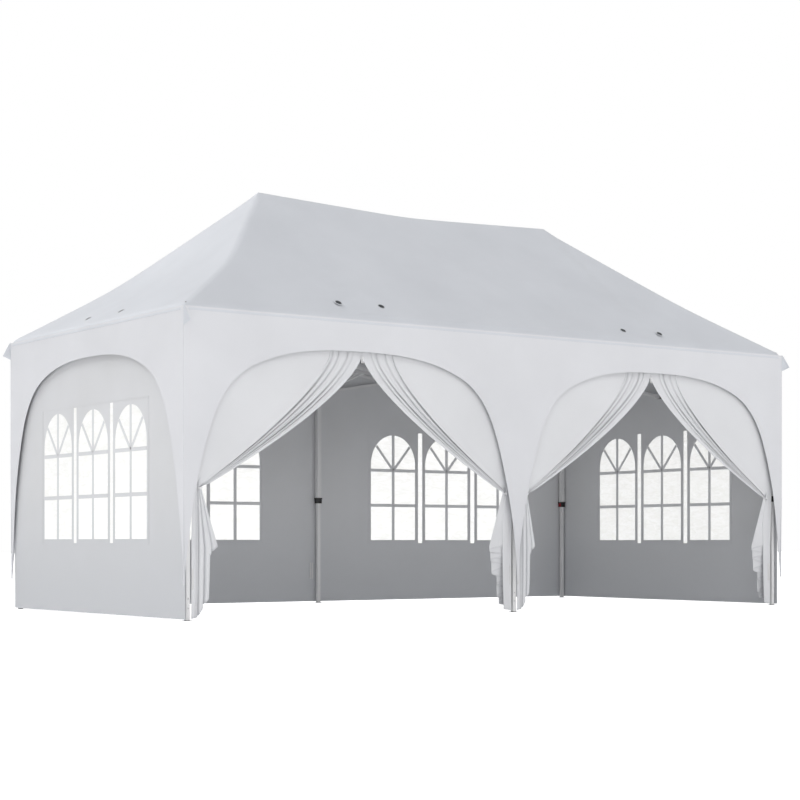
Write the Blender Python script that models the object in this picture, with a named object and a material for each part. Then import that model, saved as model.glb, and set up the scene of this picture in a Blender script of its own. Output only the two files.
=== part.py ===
"""Pop-up marquee of 3 x 6 m: scissor frame, two-peaked cover, skirts, walls and door curtains.

Metres, +Z up. The origin is the middle of the footprint on the ground, +X runs to the right
along the long front, and the front with the door curtains faces -Y.
"""

import math

import bmesh
import bpy
from mathutils import Vector

# Overall size, over the outer faces of the skirts
LENGTH = 6.0
WIDTH = 3.0
EAVE = 2.225
PEAK = 3.40
HALF_L = LENGTH / 2
HALF_W = WIDTH / 2
PEAK_X = LENGTH / 4

# Clearances
TOUCH = 0.0003
CLOTH = 0.002

# Roof cover: the long faces are flat, the end faces have a soft kink over the frame
ROOF_SHEET = 0.003
RIDGE_SAG = 0.06
END_KINK_RUN = 0.82
END_KINK_DROP = 0.755
RIDGE_COLUMNS = 8
STEEP_ROWS = 6
SHALLOW_ROWS = 3

# Skirts: one arch in each 3 m bay, with columns that taper down the legs
ARCH_TOP = 1.975
ARCH_SHOULDER_Z = 1.0
ARCH_SHOULDER_HALF = 1.38
ARCH_POWER = 2.3
ARCH_STEPS = 20
COLUMN_TIP_Z = 0.25
COLUMN_TIP_HALF = 0.006
COLUMN_POWER = 1.6
COLUMN_STEPS = 5

# Side walls, their arched windows and the clear strips between the windows
WALL_INSET = 0.030
HEM = 0.012
WINDOW_WIDTH = 0.512
WINDOW_PITCH = 0.633
WINDOW_SILL = 0.58
WINDOW_SPRING = 1.295
WINDOW_TOP = 1.575
WINDOW_ARC_STEPS = 12
STRIP_HALF = 0.029
STRIP_LOW = 0.549
STRIP_HIGH = 1.606
FILM = 0.001
FILM_HALF = 0.925
FILM_LOW = 0.535
FILM_HIGH = 1.62

# Door curtains: the free edge sweeps from the middle of the bay to a tie beside the leg
CURTAIN_APEX = 1.925
CURTAIN_TIE_Z = 0.955
CURTAIN_TIE_OUT = 0.099
CURTAIN_SWEEP = 0.728
CURTAIN_SWEEP_STEPS = 12
GATHER_START = 0.6
GATHER_DEPTH = 0.045
GATHER_CLEAR = 0.031
# Tail below the tie, as (height, distance of its free side from the leg, depth of its folds)
TAIL_ROWS = (
    (0.74, 0.170, 0.060),
    (0.52, 0.245, 0.075),
    (0.51, 0.215, 0.075),
    (0.25, 0.176, 0.050),
    (HEM, 0.083, 0.020),
)

# Legs: a 30 mm square tube that slides in a 40 mm one, both drilled for the snap button
LEG_INSET = 0.062
TUBE_WALL = 0.0015
OUTER_HALF = 0.020
OUTER_FOOT = 0.945
INNER_HALF = 0.015
INNER_TOP = 1.175
FOOT_HALF = 0.025
FOOT_PLATE = 0.004
HOLE_RADIUS = 0.0045
HOLE_SIDES = 8
INNER_HOLES = (0.090, 0.157, 0.224)
OUTER_HOLES = (0.979, 1.0665, 1.154)
HEAD_HALF = 0.0265
HEAD_DEPTH = 0.11
SLIDER_HALF_HEIGHT = 0.035

# Lock collars at the foot of the outer tubes
LOCK_HALF = 0.0245
LOCK_LOW = 0.917
LOCK_HIGH = 0.967
BUTTON_RIM = 0.014
BUTTON_OUT = 0.005

# Scissor trusses: two layers of flat tube on pivots
TRUSS_LOW = 1.945
TRUSS_HIGH = 2.195
BAR_THICK = 0.012
BAR_HEIGHT = 0.022
LAYER_GAP = 0.002
PIVOT_RADIUS = 0.009
PIVOT_SIDES = 8
JOINT_HALF_LENGTH = 0.024
JOINT_HALF_HEIGHT = 0.019
JOINT_HALF_THICK = 0.0145
HUB_HALF = 0.030

# Poles that push the two peaks up
POLE_HALF = 0.0125
POLE_CAP_HALF = 0.040
POLE_CAP_RIM = 0.020
POLE_TIP_HALF = 0.005

# Where the legs stand
LEG_X = HALF_L - LEG_INSET
LEG_Y = HALF_W - LEG_INSET
LEGS = {
    "front_left": (-LEG_X, -LEG_Y),
    "front_middle": (0.0, -LEG_Y),
    "front_right": (LEG_X, -LEG_Y),
    "back_left": (-LEG_X, LEG_Y),
    "back_middle": (0.0, LEG_Y),
    "back_right": (LEG_X, LEG_Y),
}

QUARTER = math.pi / 2
ROOF_SLOPE = (PEAK - EAVE) / HALF_W


def clear_scene():
    for old in list(bpy.data.objects):
        bpy.data.objects.remove(old, do_unlink=True)


def finish(name, colour, roughness):
    """A plain material of one colour and roughness."""
    material = bpy.data.materials.new(name)
    material.use_nodes = True
    shader = material.node_tree.nodes["Principled BSDF"]
    shader.inputs["Base Color"].default_value = (*colour, 1.0)
    shader.inputs["Roughness"].default_value = roughness
    shader.inputs["Metallic"].default_value = 0.0
    return material


def add_part(name, bm, material, location=(0.0, 0.0, 0.0), turn=0.0):
    """Turns a bmesh into a named object with outward faces."""
    bmesh.ops.recalc_face_normals(bm, faces=bm.faces)
    mesh = bpy.data.meshes.new(name)
    bm.to_mesh(mesh)
    bm.free()
    mesh.materials.append(material)
    part = bpy.data.objects.new(name, mesh)
    part.location = location
    part.rotation_euler = (0.0, 0.0, turn)
    bpy.context.collection.objects.link(part)
    return part


def add_boolean(part, tool, operation):
    """Joins a tool to a part, or cuts it out, and leaves the tool out of the picture."""
    tool.hide_render = True
    tool.display_type = "WIRE"
    change = part.modifiers.new(tool.name, "BOOLEAN")
    change.operation = operation
    change.object = tool


def add_box(bm, low, high):
    """An axis-aligned block between two corners."""
    size = Vector(high) - Vector(low)
    middle = (Vector(high) + Vector(low)) / 2
    made = bmesh.ops.create_cube(bm, size=1.0)
    for vert in made["verts"]:
        vert.co = Vector((vert.co.x * size.x, vert.co.y * size.y, vert.co.z * size.z)) + middle
    return made["verts"]


def add_round_bar(bm, run, height, radius, length, sides):
    """A short bar along local Y."""
    made = bmesh.ops.create_cone(bm, cap_ends=True, segments=sides, radius1=radius,
                                 radius2=radius, depth=length)
    for vert in made["verts"]:
        x, y, z = vert.co
        vert.co = (x + run, z, y + height)


def add_square_rings(bm, profile):
    """Stacks square rings given as (half side, height) and joins each to the next."""
    rings = []
    for half, height in profile:
        corners = [(-half, -half), (half, -half), (half, half), (-half, half)]
        rings.append([bm.verts.new((x, y, height)) for x, y in corners])
    for lower, upper in zip(rings, rings[1:]):
        join_rings(bm, lower, upper)
    return rings


def join_rings(bm, lower, upper):
    """Four faces between two rings of four points."""
    for side in range(4):
        after = (side + 1) % 4
        bm.faces.new((lower[side], lower[after], upper[after], upper[side]))


def close_ends(bm, rings):
    """Caps the first and the last ring."""
    bm.faces.new(rings[0])
    bm.faces.new(rings[-1])


def add_sheet(bm, outline, holes, near, far):
    """A flat sheet in the XZ plane with holes, from y = near to y = far."""
    edges = []
    for loop in [outline] + holes:
        verts = [bm.verts.new((x, near, z)) for x, z in loop]
        for index, vert in enumerate(verts):
            edges.append(bm.edges.new((vert, verts[(index + 1) % len(verts)])))
    filled = bmesh.ops.triangle_fill(bm, use_beauty=True, use_dissolve=False, edges=edges)
    faces = [item for item in filled["geom"] if isinstance(item, bmesh.types.BMFace)]
    thicken(bm, faces, (0.0, far - near, 0.0))


def thicken(bm, faces, offset):
    """Closes an open sheet into a solid by copying it along an offset."""
    pushed = bmesh.ops.extrude_face_region(bm, geom=faces, use_keep_orig=True)
    moved = [item for item in pushed["geom"] if isinstance(item, bmesh.types.BMVert)]
    bmesh.ops.translate(bm, vec=offset, verts=moved)


def end_height(run):
    """Height of an end face at a distance outside the peak: steep, a kink, then shallow."""
    if run <= END_KINK_RUN:
        return PEAK - END_KINK_DROP * run / END_KINK_RUN
    part = (run - END_KINK_RUN) / (PEAK_X - END_KINK_RUN)
    return PEAK - END_KINK_DROP - part * (PEAK - END_KINK_DROP - EAVE)


def long_height(x, y):
    """Height of a long face, whose ridge sags a little between the two peaks."""
    sag = 0.0
    if abs(x) < PEAK_X:
        sag = RIDGE_SAG * (1 - abs(x) / PEAK_X) * (1 - abs(y) / HALF_W) ** 2
    return PEAK - ROOF_SLOPE * abs(y) - sag


def under_roof(x, y):
    """The height that just clears the cover's lower face over a point of the plan."""
    roof = min(long_height(x, y), end_height(max(0.0, abs(x) - PEAK_X)))
    return roof - ROOF_SHEET - TOUCH


def roof_rows():
    """Distances outside the peak where the cover has a row of points."""
    steep = [END_KINK_RUN * step / STEEP_ROWS for step in range(STEEP_ROWS + 1)]
    rest = PEAK_X - END_KINK_RUN
    shallow = [END_KINK_RUN + rest * step / SHALLOW_ROWS for step in range(1, SHALLOW_ROWS + 1)]
    return steep + shallow


def long_row(run, side):
    """Points of one level line on a long face, from the left hip to the right hip."""
    y = side * (PEAK - end_height(run)) / ROOF_SLOPE
    between = [PEAK_X * (2 * step / RIDGE_COLUMNS - 1) for step in range(RIDGE_COLUMNS + 1)]
    xs = [-PEAK_X - run, -PEAK_X - run / 2] + between + [PEAK_X + run / 2, PEAK_X + run]
    return [(x, y, long_height(x, y)) for x in xs]


def end_row(run, side):
    """Points of one level line on an end face, from the front hip to the back hip."""
    z = end_height(run)
    half = (PEAK - z) / ROOF_SLOPE
    return [(side * (PEAK_X + run), half * part, z) for part in (-1, -0.5, 0, 0.5, 1)]


def make_roof_cover(material):
    """The two-peaked cover: rows of level lines, from the ridge down to the eave."""
    bm = bmesh.new()
    points = {}

    def point(x, y, z):
        key = (round(x, 5), round(y, 5), round(z, 5))
        if key not in points:
            points[key] = bm.verts.new((x, y, z))
        return points[key]

    def face(*corners):
        verts = []
        for corner in corners:
            vert = point(*corner)
            if vert not in verts:
                verts.append(vert)
        if len(verts) > 2:
            bm.faces.new(verts)

    for make_row in (long_row, end_row):
        for side in (-1, 1):
            rows = [make_row(run, side) for run in roof_rows()]
            for upper, lower in zip(rows, rows[1:]):
                for index in range(len(upper) - 1):
                    face(upper[index], upper[index + 1], lower[index + 1], lower[index])
    thicken(bm, list(bm.faces), (0.0, 0.0, -ROOF_SHEET))
    return add_part("roof_cover", bm, material)


def column_points():
    """Edge of a skirt's column from its tip up to the arch, as (distance from bay middle, height)."""
    points = []
    widest = PEAK_X - ARCH_SHOULDER_HALF
    for step in range(COLUMN_STEPS):
        part = step / COLUMN_STEPS
        half = COLUMN_TIP_HALF + (widest - COLUMN_TIP_HALF) * part ** COLUMN_POWER
        points.append((PEAK_X - half, COLUMN_TIP_Z + (ARCH_SHOULDER_Z - COLUMN_TIP_Z) * part))
    return points


def arch_points(middle):
    """One arch of the skirt, from its left column tip over the top to its right column tip."""
    column = column_points()
    left = [(middle - across, height) for across, height in column]
    right = [(middle + across, height) for across, height in reversed(column)]
    arch = []
    for step in range(ARCH_STEPS + 1):
        angle = math.pi * (1 - step / ARCH_STEPS)
        across = abs(math.cos(angle)) ** (2 / ARCH_POWER) * math.copysign(1, math.cos(angle))
        up = abs(math.sin(angle)) ** (2 / ARCH_POWER)
        height = ARCH_SHOULDER_Z + (ARCH_TOP - ARCH_SHOULDER_Z) * up
        arch.append((middle + ARCH_SHOULDER_HALF * across, height))
    return left + arch + right


def make_valance(name, middles, half_length, distance, turn, material):
    """A skirt that hangs from the eave, arched in each bay, with columns down the legs."""
    top = EAVE - ROOF_SHEET - TOUCH
    outline = [(-half_length, top), (-half_length, COLUMN_TIP_Z)]
    for middle in middles:
        outline += arch_points(middle)
    outline += [(half_length, COLUMN_TIP_Z), (half_length, top)]
    bm = bmesh.new()
    add_sheet(bm, outline, [], -distance, CLOTH - distance)
    return add_part(name, bm, material, turn=turn)


def window_points(middle):
    """Outline of one arched window."""
    half = WINDOW_WIDTH / 2
    points = [(middle - half, WINDOW_SILL), (middle + half, WINDOW_SILL)]
    for step in range(WINDOW_ARC_STEPS + 1):
        angle = math.pi * step / WINDOW_ARC_STEPS
        rise = (WINDOW_TOP - WINDOW_SPRING) * math.sin(angle)
        points.append((middle + half * math.cos(angle), WINDOW_SPRING + rise))
    return points


def rectangle(left, right, low, high):
    return [(left, low), (right, low), (right, high), (left, high)]


def make_wall(name, left, right, distance, top, turn, middle, wall_material, film_material):
    """A side wall with three arched windows, and the clear sheet behind them."""
    holes = [window_points(middle + WINDOW_PITCH * place) for place in (-1, 0, 1)]
    for side in (-1, 1):
        strip = middle + side * WINDOW_PITCH / 2
        holes.append(rectangle(strip - STRIP_HALF, strip + STRIP_HALF, STRIP_LOW, STRIP_HIGH))
    outer = WALL_INSET - distance
    bm = bmesh.new()
    add_sheet(bm, rectangle(left, right, HEM, top), holes, outer, outer + CLOTH)
    add_part(name, bm, wall_material, turn=turn)
    inner = outer + CLOTH + TOUCH
    bm = bmesh.new()
    low = (middle - FILM_HALF, inner, FILM_LOW)
    add_box(bm, low, (middle + FILM_HALF, inner + FILM, FILM_HIGH))
    add_part(name + "_windows", bm, film_material, turn=turn)


def curtain_rows(span, top):
    """Rows from top to bottom: height, reach from the leg, distance kept from it, fold depth."""
    beside = OUTER_HALF + TOUCH
    rows = [(top, span - TOUCH / 2, beside, 0.0)]
    drop = CURTAIN_APEX - CURTAIN_TIE_Z
    for step in range(CURTAIN_SWEEP_STEPS + 1):
        part = step / CURTAIN_SWEEP_STEPS
        reach = span - max(TOUCH / 2, (span - CURTAIN_TIE_OUT) * part)
        gather = max(0.0, part - GATHER_START) / (1 - GATHER_START)
        clear = GATHER_CLEAR if gather else beside
        height = CURTAIN_APEX - drop * part ** CURTAIN_SWEEP
        rows.append((height, reach, clear, GATHER_DEPTH * gather))
    for height, reach, depth in TAIL_ROWS:
        rows.append((height, reach, GATHER_CLEAR, depth))
    return rows


def make_curtain(name, middle, side, material):
    """Half of a door: it hangs from the eave, sweeps to its tie at the leg and falls to the hem."""
    back = WALL_INSET - HALF_W
    front = back - CLOTH
    leg = side * LEG_X if middle * side > 0 else 0.0
    top = under_roof(leg - side * OUTER_HALF, front)
    bm = bmesh.new()
    rings = []
    for height, reach, clear, depth in curtain_rows(abs(leg - middle), top):
        inner = leg - side * reach
        outer = leg - side * clear
        corners = [(inner, front), (outer, front), (outer, back + depth), (inner, back + depth)]
        rings.append([bm.verts.new((x, y, height)) for x, y in corners])
    for upper, lower in zip(rings, rings[1:]):
        join_rings(bm, upper, lower)
    close_ends(bm, rings)
    return add_part(name, bm, material)


def drill(tube, half, heights, material):
    """Cuts the snap button's round holes through the front and back walls of a tube."""
    bm = bmesh.new()
    for height in heights:
        add_round_bar(bm, 0.0, height, HOLE_RADIUS, 4 * half, HOLE_SIDES)
    cutter = add_part(tube.name + "_holes", bm, material, location=tube.location)
    add_boolean(tube, cutter, "DIFFERENCE")


def make_upper_leg(place, material):
    """Outer leg tube with its truss slider and the head bracket that carries the cover."""
    x, y = LEGS[place]
    top = under_roof(abs(x) + HEAD_HALF if x else 0.0, abs(y) + HEAD_HALF)
    head_low = top - HEAD_DEPTH
    bore = OUTER_HALF - TUBE_WALL
    bm = bmesh.new()
    profile = [
        (bore, head_low),
        (bore, OUTER_FOOT),
        (OUTER_HALF, OUTER_FOOT),
        (OUTER_HALF, TRUSS_LOW - SLIDER_HALF_HEIGHT),
        (HEAD_HALF, TRUSS_LOW - SLIDER_HALF_HEIGHT),
        (HEAD_HALF, TRUSS_LOW + SLIDER_HALF_HEIGHT),
        (OUTER_HALF, TRUSS_LOW + SLIDER_HALF_HEIGHT),
        (OUTER_HALF, head_low),
        (HEAD_HALF, head_low),
        (HEAD_HALF, top),
    ]
    close_ends(bm, add_square_rings(bm, profile))
    leg = add_part("upper_leg_" + place, bm, material, location=(x, y, 0.0))
    drill(leg, OUTER_HALF, OUTER_HOLES, material)


def make_leg_lock(place, material):
    """Collar at the foot of the outer tube, close around the inner tube, with its push button."""
    x, y = LEGS[place]
    grip = INNER_HALF + TOUCH
    socket = OUTER_HALF + TOUCH
    bm = bmesh.new()
    profile = [
        (grip, LOCK_LOW),
        (LOCK_HALF, LOCK_LOW),
        (LOCK_HALF, LOCK_HIGH),
        (socket, LOCK_HIGH),
        (socket, OUTER_FOOT - TOUCH),
        (grip, OUTER_FOOT - TOUCH),
    ]
    rings = add_square_rings(bm, profile)
    join_rings(bm, rings[-1], rings[0])
    inward = -1 if x > 0 else 1
    sides = [face for face in bm.faces
             if abs(face.calc_center_median().x - inward * LOCK_HALF) < TOUCH]
    bmesh.ops.inset_individual(bm, faces=sides, thickness=BUTTON_RIM)
    raised = bmesh.ops.extrude_discrete_faces(bm, faces=sides)
    corners = [vert for face in raised["faces"] for vert in face.verts]
    bmesh.ops.translate(bm, vec=(inward * BUTTON_OUT, 0.0, 0.0), verts=corners)
    add_part("leg_lock_" + place, bm, material, location=(x, y, 0.0))


def make_lower_leg(place, material):
    """Inner leg tube, open at the top, on its foot plate."""
    x, y = LEGS[place]
    bore = INNER_HALF - TUBE_WALL
    bm = bmesh.new()
    profile = [
        (FOOT_HALF, 0.0),
        (FOOT_HALF, FOOT_PLATE),
        (INNER_HALF, FOOT_PLATE),
        (INNER_HALF, INNER_TOP),
        (bore, INNER_TOP),
        (bore, FOOT_PLATE),
    ]
    close_ends(bm, add_square_rings(bm, profile))
    leg = add_part("lower_leg_" + place, bm, material, location=(x, y, 0.0))
    drill(leg, INNER_HALF, INNER_HOLES, material)


def add_bar(bm, start, end, layer):
    """A flat bar between two (run, height) points, on one side of the truss."""
    (x0, z0), (x1, z1) = start, end
    half = math.hypot(x1 - x0, z1 - z0) / 2
    angle = math.atan2(z1 - z0, x1 - x0)
    offset = layer * (BAR_THICK + LAYER_GAP) / 2
    for vert in add_box(bm, (-half, offset - BAR_THICK / 2, -BAR_HEIGHT / 2),
                        (half, offset + BAR_THICK / 2, BAR_HEIGHT / 2)):
        x, z = vert.co.x, vert.co.z
        vert.co.x = x * math.cos(angle) - z * math.sin(angle) + (x0 + x1) / 2
        vert.co.z = x * math.sin(angle) + z * math.cos(angle) + (z0 + z1) / 2


def add_joint(bm, run, height, half_length=JOINT_HALF_LENGTH, half_thick=JOINT_HALF_THICK):
    """A joint block around the ends of the bars."""
    add_box(bm, (run - half_length, -half_thick, height - JOINT_HALF_HEIGHT),
            (run + half_length, half_thick, height + JOINT_HALF_HEIGHT))


def make_truss(name, joints, origin, turn, material, hub=JOINT_HALF_THICK):
    """Scissor truss along local X through joints at the given runs."""
    bars = bmesh.new()
    fittings = bmesh.new()
    pivot_length = 2 * BAR_THICK + 3 * LAYER_GAP
    for start, end in zip(joints, joints[1:]):
        a = start + JOINT_HALF_LENGTH if start == joints[0] else start
        b = end - JOINT_HALF_LENGTH if end == joints[-1] else end
        add_bar(bars, (a, TRUSS_HIGH), (b, TRUSS_LOW), -1)
        add_bar(bars, (a, TRUSS_LOW), (b, TRUSS_HIGH), 1)
        add_round_bar(fittings, (a + b) / 2, (TRUSS_LOW + TRUSS_HIGH) / 2, PIVOT_RADIUS,
                      pivot_length, PIVOT_SIDES)
    for height in (TRUSS_LOW, TRUSS_HIGH):
        for run in joints[1:-1]:
            add_joint(fittings, run, height, max(JOINT_HALF_LENGTH, hub), hub)
        add_joint(fittings, joints[0] + JOINT_HALF_LENGTH, height)
        add_joint(fittings, joints[-1] - JOINT_HALF_LENGTH, height)
    tool = add_part(name + "_fittings", fittings, material, location=origin, turn=turn)
    part = add_part(name, bars, material, location=origin, turn=turn)
    add_boolean(part, tool, "UNION")


def make_trusses(material):
    """Perimeter trusses between the legs, then the trusses that carry the two hubs."""
    side = HEAD_HALF + TOUCH
    long_span = [side, PEAK_X, LEG_X - side]
    for row, y in (("front", -LEG_Y), ("back", LEG_Y)):
        make_truss(row + "_truss_right", long_span, (0.0, y, 0.0), 0.0, material)
        mirrored = [-run for run in reversed(long_span)]
        make_truss(row + "_truss_left", mirrored, (0.0, y, 0.0), 0.0, material)
    end_span = [side - LEG_Y, 0.0, LEG_Y - side]
    make_truss("left_end_truss", end_span, (-LEG_X, 0.0, 0.0), QUARTER, material)
    make_truss("right_end_truss", end_span, (LEG_X, 0.0, 0.0), QUARTER, material)
    make_truss("middle_truss", end_span, (0.0, 0.0, 0.0), QUARTER, material)
    seat = JOINT_HALF_THICK + TOUCH
    cross_span = [seat - LEG_Y, 0.0, LEG_Y - seat]
    for end, sign in (("left", -1), ("right", 1)):
        origin = (sign * PEAK_X, 0.0, 0.0)
        make_truss("cross_truss_" + end, cross_span, origin, QUARTER, material, HUB_HALF)
        outer = sorted((sign * (PEAK_X + HUB_HALF + TOUCH), sign * (LEG_X - seat)))
        inner = sorted((sign * seat, sign * (PEAK_X - HUB_HALF - TOUCH)))
        make_truss("ridge_truss_" + end + "_outer", outer, (0.0, 0.0, 0.0), 0.0, material)
        make_truss("ridge_truss_" + end + "_inner", inner, (0.0, 0.0, 0.0), 0.0, material)


def make_peak_pole(name, x, material):
    """Pole on the hub, with a cap that spreads the load under the peak."""
    steepest = END_KINK_DROP / END_KINK_RUN
    under = PEAK - ROOF_SHEET - TOUCH
    cap_edge = under - steepest * POLE_CAP_HALF
    bm = bmesh.new()
    profile = [
        (POLE_HALF, TRUSS_HIGH + JOINT_HALF_HEIGHT + TOUCH),
        (POLE_HALF, cap_edge - POLE_CAP_RIM),
        (POLE_CAP_HALF, cap_edge - POLE_CAP_RIM),
        (POLE_CAP_HALF, cap_edge),
        (POLE_TIP_HALF, under - steepest * POLE_TIP_HALF),
    ]
    close_ends(bm, add_square_rings(bm, profile))
    add_part(name, bm, material, location=(x, 0.0, 0.0))


def make_walls(cover, film):
    """Walls on both ends and in both back bays; the front bays are the doors."""
    corner = HALF_L - WALL_INSET - CLOTH - TOUCH
    half_end = HALF_W - WALL_INSET
    top = under_roof(HALF_L - WALL_INSET, HALF_W - WALL_INSET)
    make_wall("back_right_wall", -corner, -TOUCH, HALF_W, top, math.pi, -PEAK_X, cover, film)
    make_wall("back_left_wall", TOUCH, corner, HALF_W, top, math.pi, PEAK_X, cover, film)
    make_wall("left_wall", -half_end, half_end, HALF_L, top, -QUARTER, 0.0, cover, film)
    make_wall("right_wall", -half_end, half_end, HALF_L, top, QUARTER, 0.0, cover, film)


def make_marquee():
    cover = finish("white coated polyester", (0.80, 0.81, 0.84), 0.55)
    film = finish("clear window sheet", (0.88, 0.90, 0.92), 0.15)
    steel = finish("powder coated steel", (0.72, 0.72, 0.73), 0.45)
    nylon = finish("black nylon", (0.03, 0.03, 0.03), 0.5)

    for place in LEGS:
        make_lower_leg(place, steel)
        make_upper_leg(place, steel)
        make_leg_lock(place, nylon)
    make_trusses(steel)
    make_peak_pole("peak_pole_left", -PEAK_X, steel)
    make_peak_pole("peak_pole_right", PEAK_X, steel)

    make_roof_cover(cover)
    inside_corner = HALF_L - CLOTH - TOUCH
    make_valance("front_valance", (-PEAK_X, PEAK_X), inside_corner, HALF_W, 0.0, cover)
    make_valance("back_valance", (-PEAK_X, PEAK_X), inside_corner, HALF_W, math.pi, cover)
    make_valance("left_valance", (0.0,), HALF_W, HALF_L, -QUARTER, cover)
    make_valance("right_valance", (0.0,), HALF_W, HALF_L, QUARTER, cover)
    make_walls(cover, film)
    make_curtain("curtain_left_bay_left", -PEAK_X, -1, cover)
    make_curtain("curtain_left_bay_right", -PEAK_X, 1, cover)
    make_curtain("curtain_right_bay_left", PEAK_X, -1, cover)
    make_curtain("curtain_right_bay_right", PEAK_X, 1, cover)


clear_scene()
make_marquee()
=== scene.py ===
# %% [markdown]
# # A pop-up marquee, dressed over its frame
# The tent stands 3 x 6 m on six telescopic legs. A two-peaked cover is stretched over a folding
# frame, skirts with one arch in each bay hang from its eave, and behind them hang side walls with
# windows and door curtains that are tied back to the legs. The solids that carry and move are
# loaded first, and every cloth is then laid over them in the same coordinates, in metres.

# %% Load the solids
import math

import bpy
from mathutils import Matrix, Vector


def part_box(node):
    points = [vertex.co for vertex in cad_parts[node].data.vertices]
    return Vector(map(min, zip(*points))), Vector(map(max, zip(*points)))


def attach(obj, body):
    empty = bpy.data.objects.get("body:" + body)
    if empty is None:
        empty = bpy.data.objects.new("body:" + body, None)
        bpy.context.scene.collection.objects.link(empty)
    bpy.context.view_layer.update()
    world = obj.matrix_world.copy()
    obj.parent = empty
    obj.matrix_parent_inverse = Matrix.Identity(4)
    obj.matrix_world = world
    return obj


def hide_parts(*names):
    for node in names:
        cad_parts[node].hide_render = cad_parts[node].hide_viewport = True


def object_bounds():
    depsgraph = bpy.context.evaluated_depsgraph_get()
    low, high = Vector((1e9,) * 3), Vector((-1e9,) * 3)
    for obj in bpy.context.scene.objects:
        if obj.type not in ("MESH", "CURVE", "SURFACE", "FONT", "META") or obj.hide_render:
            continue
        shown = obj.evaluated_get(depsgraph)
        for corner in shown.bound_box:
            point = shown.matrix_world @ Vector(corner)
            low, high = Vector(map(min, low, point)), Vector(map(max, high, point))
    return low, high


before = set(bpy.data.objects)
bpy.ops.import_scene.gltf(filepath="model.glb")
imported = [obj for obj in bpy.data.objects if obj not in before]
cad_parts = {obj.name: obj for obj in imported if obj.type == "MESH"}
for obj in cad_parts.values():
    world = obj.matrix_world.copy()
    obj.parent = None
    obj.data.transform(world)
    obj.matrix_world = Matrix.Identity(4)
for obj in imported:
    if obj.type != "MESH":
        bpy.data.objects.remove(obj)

box_low, box_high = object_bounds()
print("the solids reach from", tuple(box_low), "to", tuple(box_high))

# %% [markdown]
# ## Sizes that every piece shares
# Most sizes are read from the solids, so that cloth and frame can't drift apart. The rest are the
# driving sizes of the sewn pieces, as a maker would write them on a pattern.

# %% Read the driving sizes
HALF_L = box_high.x
HALF_W = box_high.y
PEAK = box_high.z
PEAK_X = HALF_L / 2
EAVE = 2.225
ROOF_SLOPE = (PEAK - EAVE) / HALF_W
LEGS = {}
for row in ("front", "back"):
    for place in ("left", "middle", "right"):
        low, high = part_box(f"upper_leg_{row}_{place}")
        LEGS[f"{row}_{place}"] = ((low.x + high.x) / 2, (low.y + high.y) / 2)
LEG_X = LEGS["front_right"][0]
LEG_Y = LEGS["back_right"][1]
MAIN = "marquee"
QUARTER = math.pi / 2
print("half length", HALF_L, "half width", HALF_W, "legs at", LEG_X, LEG_Y)

# %% [markdown]
# ## A few helpers
# Blender's operators act on whatever is selected, so a new piece starts with nothing selected.
# A cloth starts as a grid, whose points are then put in place by a formula of two shares, one
# across the cloth and one down it. A hard piece starts as a primitive at its real size and place.

# %% Select and change a piece
def let_go():
    """Deselects everything in object mode."""
    if bpy.context.object and bpy.context.object.mode != "OBJECT":
        bpy.ops.object.mode_set(mode="OBJECT")
    bpy.ops.object.select_all(action="DESELECT")


def take(piece):
    """Selects one piece and makes it the active one."""
    let_go()
    piece.select_set(True)
    bpy.context.view_layer.objects.active = piece


def apply_modifier(piece, kind, **settings):
    """Adds a modifier, sets it and applies it."""
    take(piece)
    modifier = piece.modifiers.new(kind.title(), kind)
    for name, value in settings.items():
        setattr(modifier, name, value)
    bpy.ops.object.modifier_apply(modifier=modifier.name)


def in_edit_mode(piece, *steps):
    """Runs edit operators on the whole mesh of a piece."""
    take(piece)
    bpy.ops.object.mode_set(mode="EDIT")
    bpy.ops.mesh.select_all(action="SELECT")
    for step, settings in steps:
        step(**settings)
    bpy.ops.object.mode_set(mode="OBJECT")


def settle(piece):
    """Puts a piece's place, turn and size in its mesh."""
    take(piece)
    bpy.ops.object.transform_apply(location=True, rotation=True, scale=True)


def pick_faces(piece, test):
    """Goes to edit mode with the faces selected whose middle and normal pass the test."""
    take(piece)
    bpy.ops.object.mode_set(mode="EDIT")
    bpy.ops.mesh.select_mode(type="FACE")
    bpy.ops.mesh.select_all(action="DESELECT")
    bpy.ops.object.mode_set(mode="OBJECT")
    for face in piece.data.polygons:
        face.select = test(face.center, face.normal)
    bpy.ops.object.mode_set(mode="EDIT")


# %% Add, copy, cut, join and finish pieces
def just_added(name):
    """The piece that was added last, under its name."""
    piece = bpy.context.object
    piece.name = piece.data.name = name
    return piece


def add_block(name, centre, size):
    """A cube primitive at its size and place, to be shaped further."""
    let_go()
    bpy.ops.mesh.primitive_cube_add(size=1, location=centre, scale=size)
    piece = just_added(name)
    settle(piece)
    return piece


def pocket_block(name, centre, size, test, rim, depth):
    """A moulded block: the faces that pass the test are inset and pressed in by the depth."""
    piece = add_block(name, centre, size)
    pick_faces(piece, test)
    bpy.ops.mesh.inset(thickness=rim, use_individual=True)
    bpy.ops.mesh.inset(thickness=depth, depth=-depth, use_individual=True)
    bpy.ops.object.mode_set(mode="OBJECT")
    return piece


def round_edges(piece, width, segments=2, angle=30):
    """Bevels the edges that are sharper than the angle."""
    apply_modifier(piece, "BEVEL", width=width, segments=segments, limit_method="ANGLE",
                   angle_limit=math.radians(angle))


def copy_piece(piece, name, place, turn=0.0):
    """A copy with a mesh of its own, moved and turned about the upright axis."""
    take(piece)
    bpy.ops.object.duplicate()
    made = just_added(name)
    made.location = place
    made.rotation_euler.z = turn
    settle(made)
    return made


def cut(piece, cutter):
    """Cuts one piece out of another and deletes the cutter."""
    apply_modifier(piece, "BOOLEAN", operation="DIFFERENCE", object=cutter, solver="EXACT")
    bpy.data.objects.remove(cutter)


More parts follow.
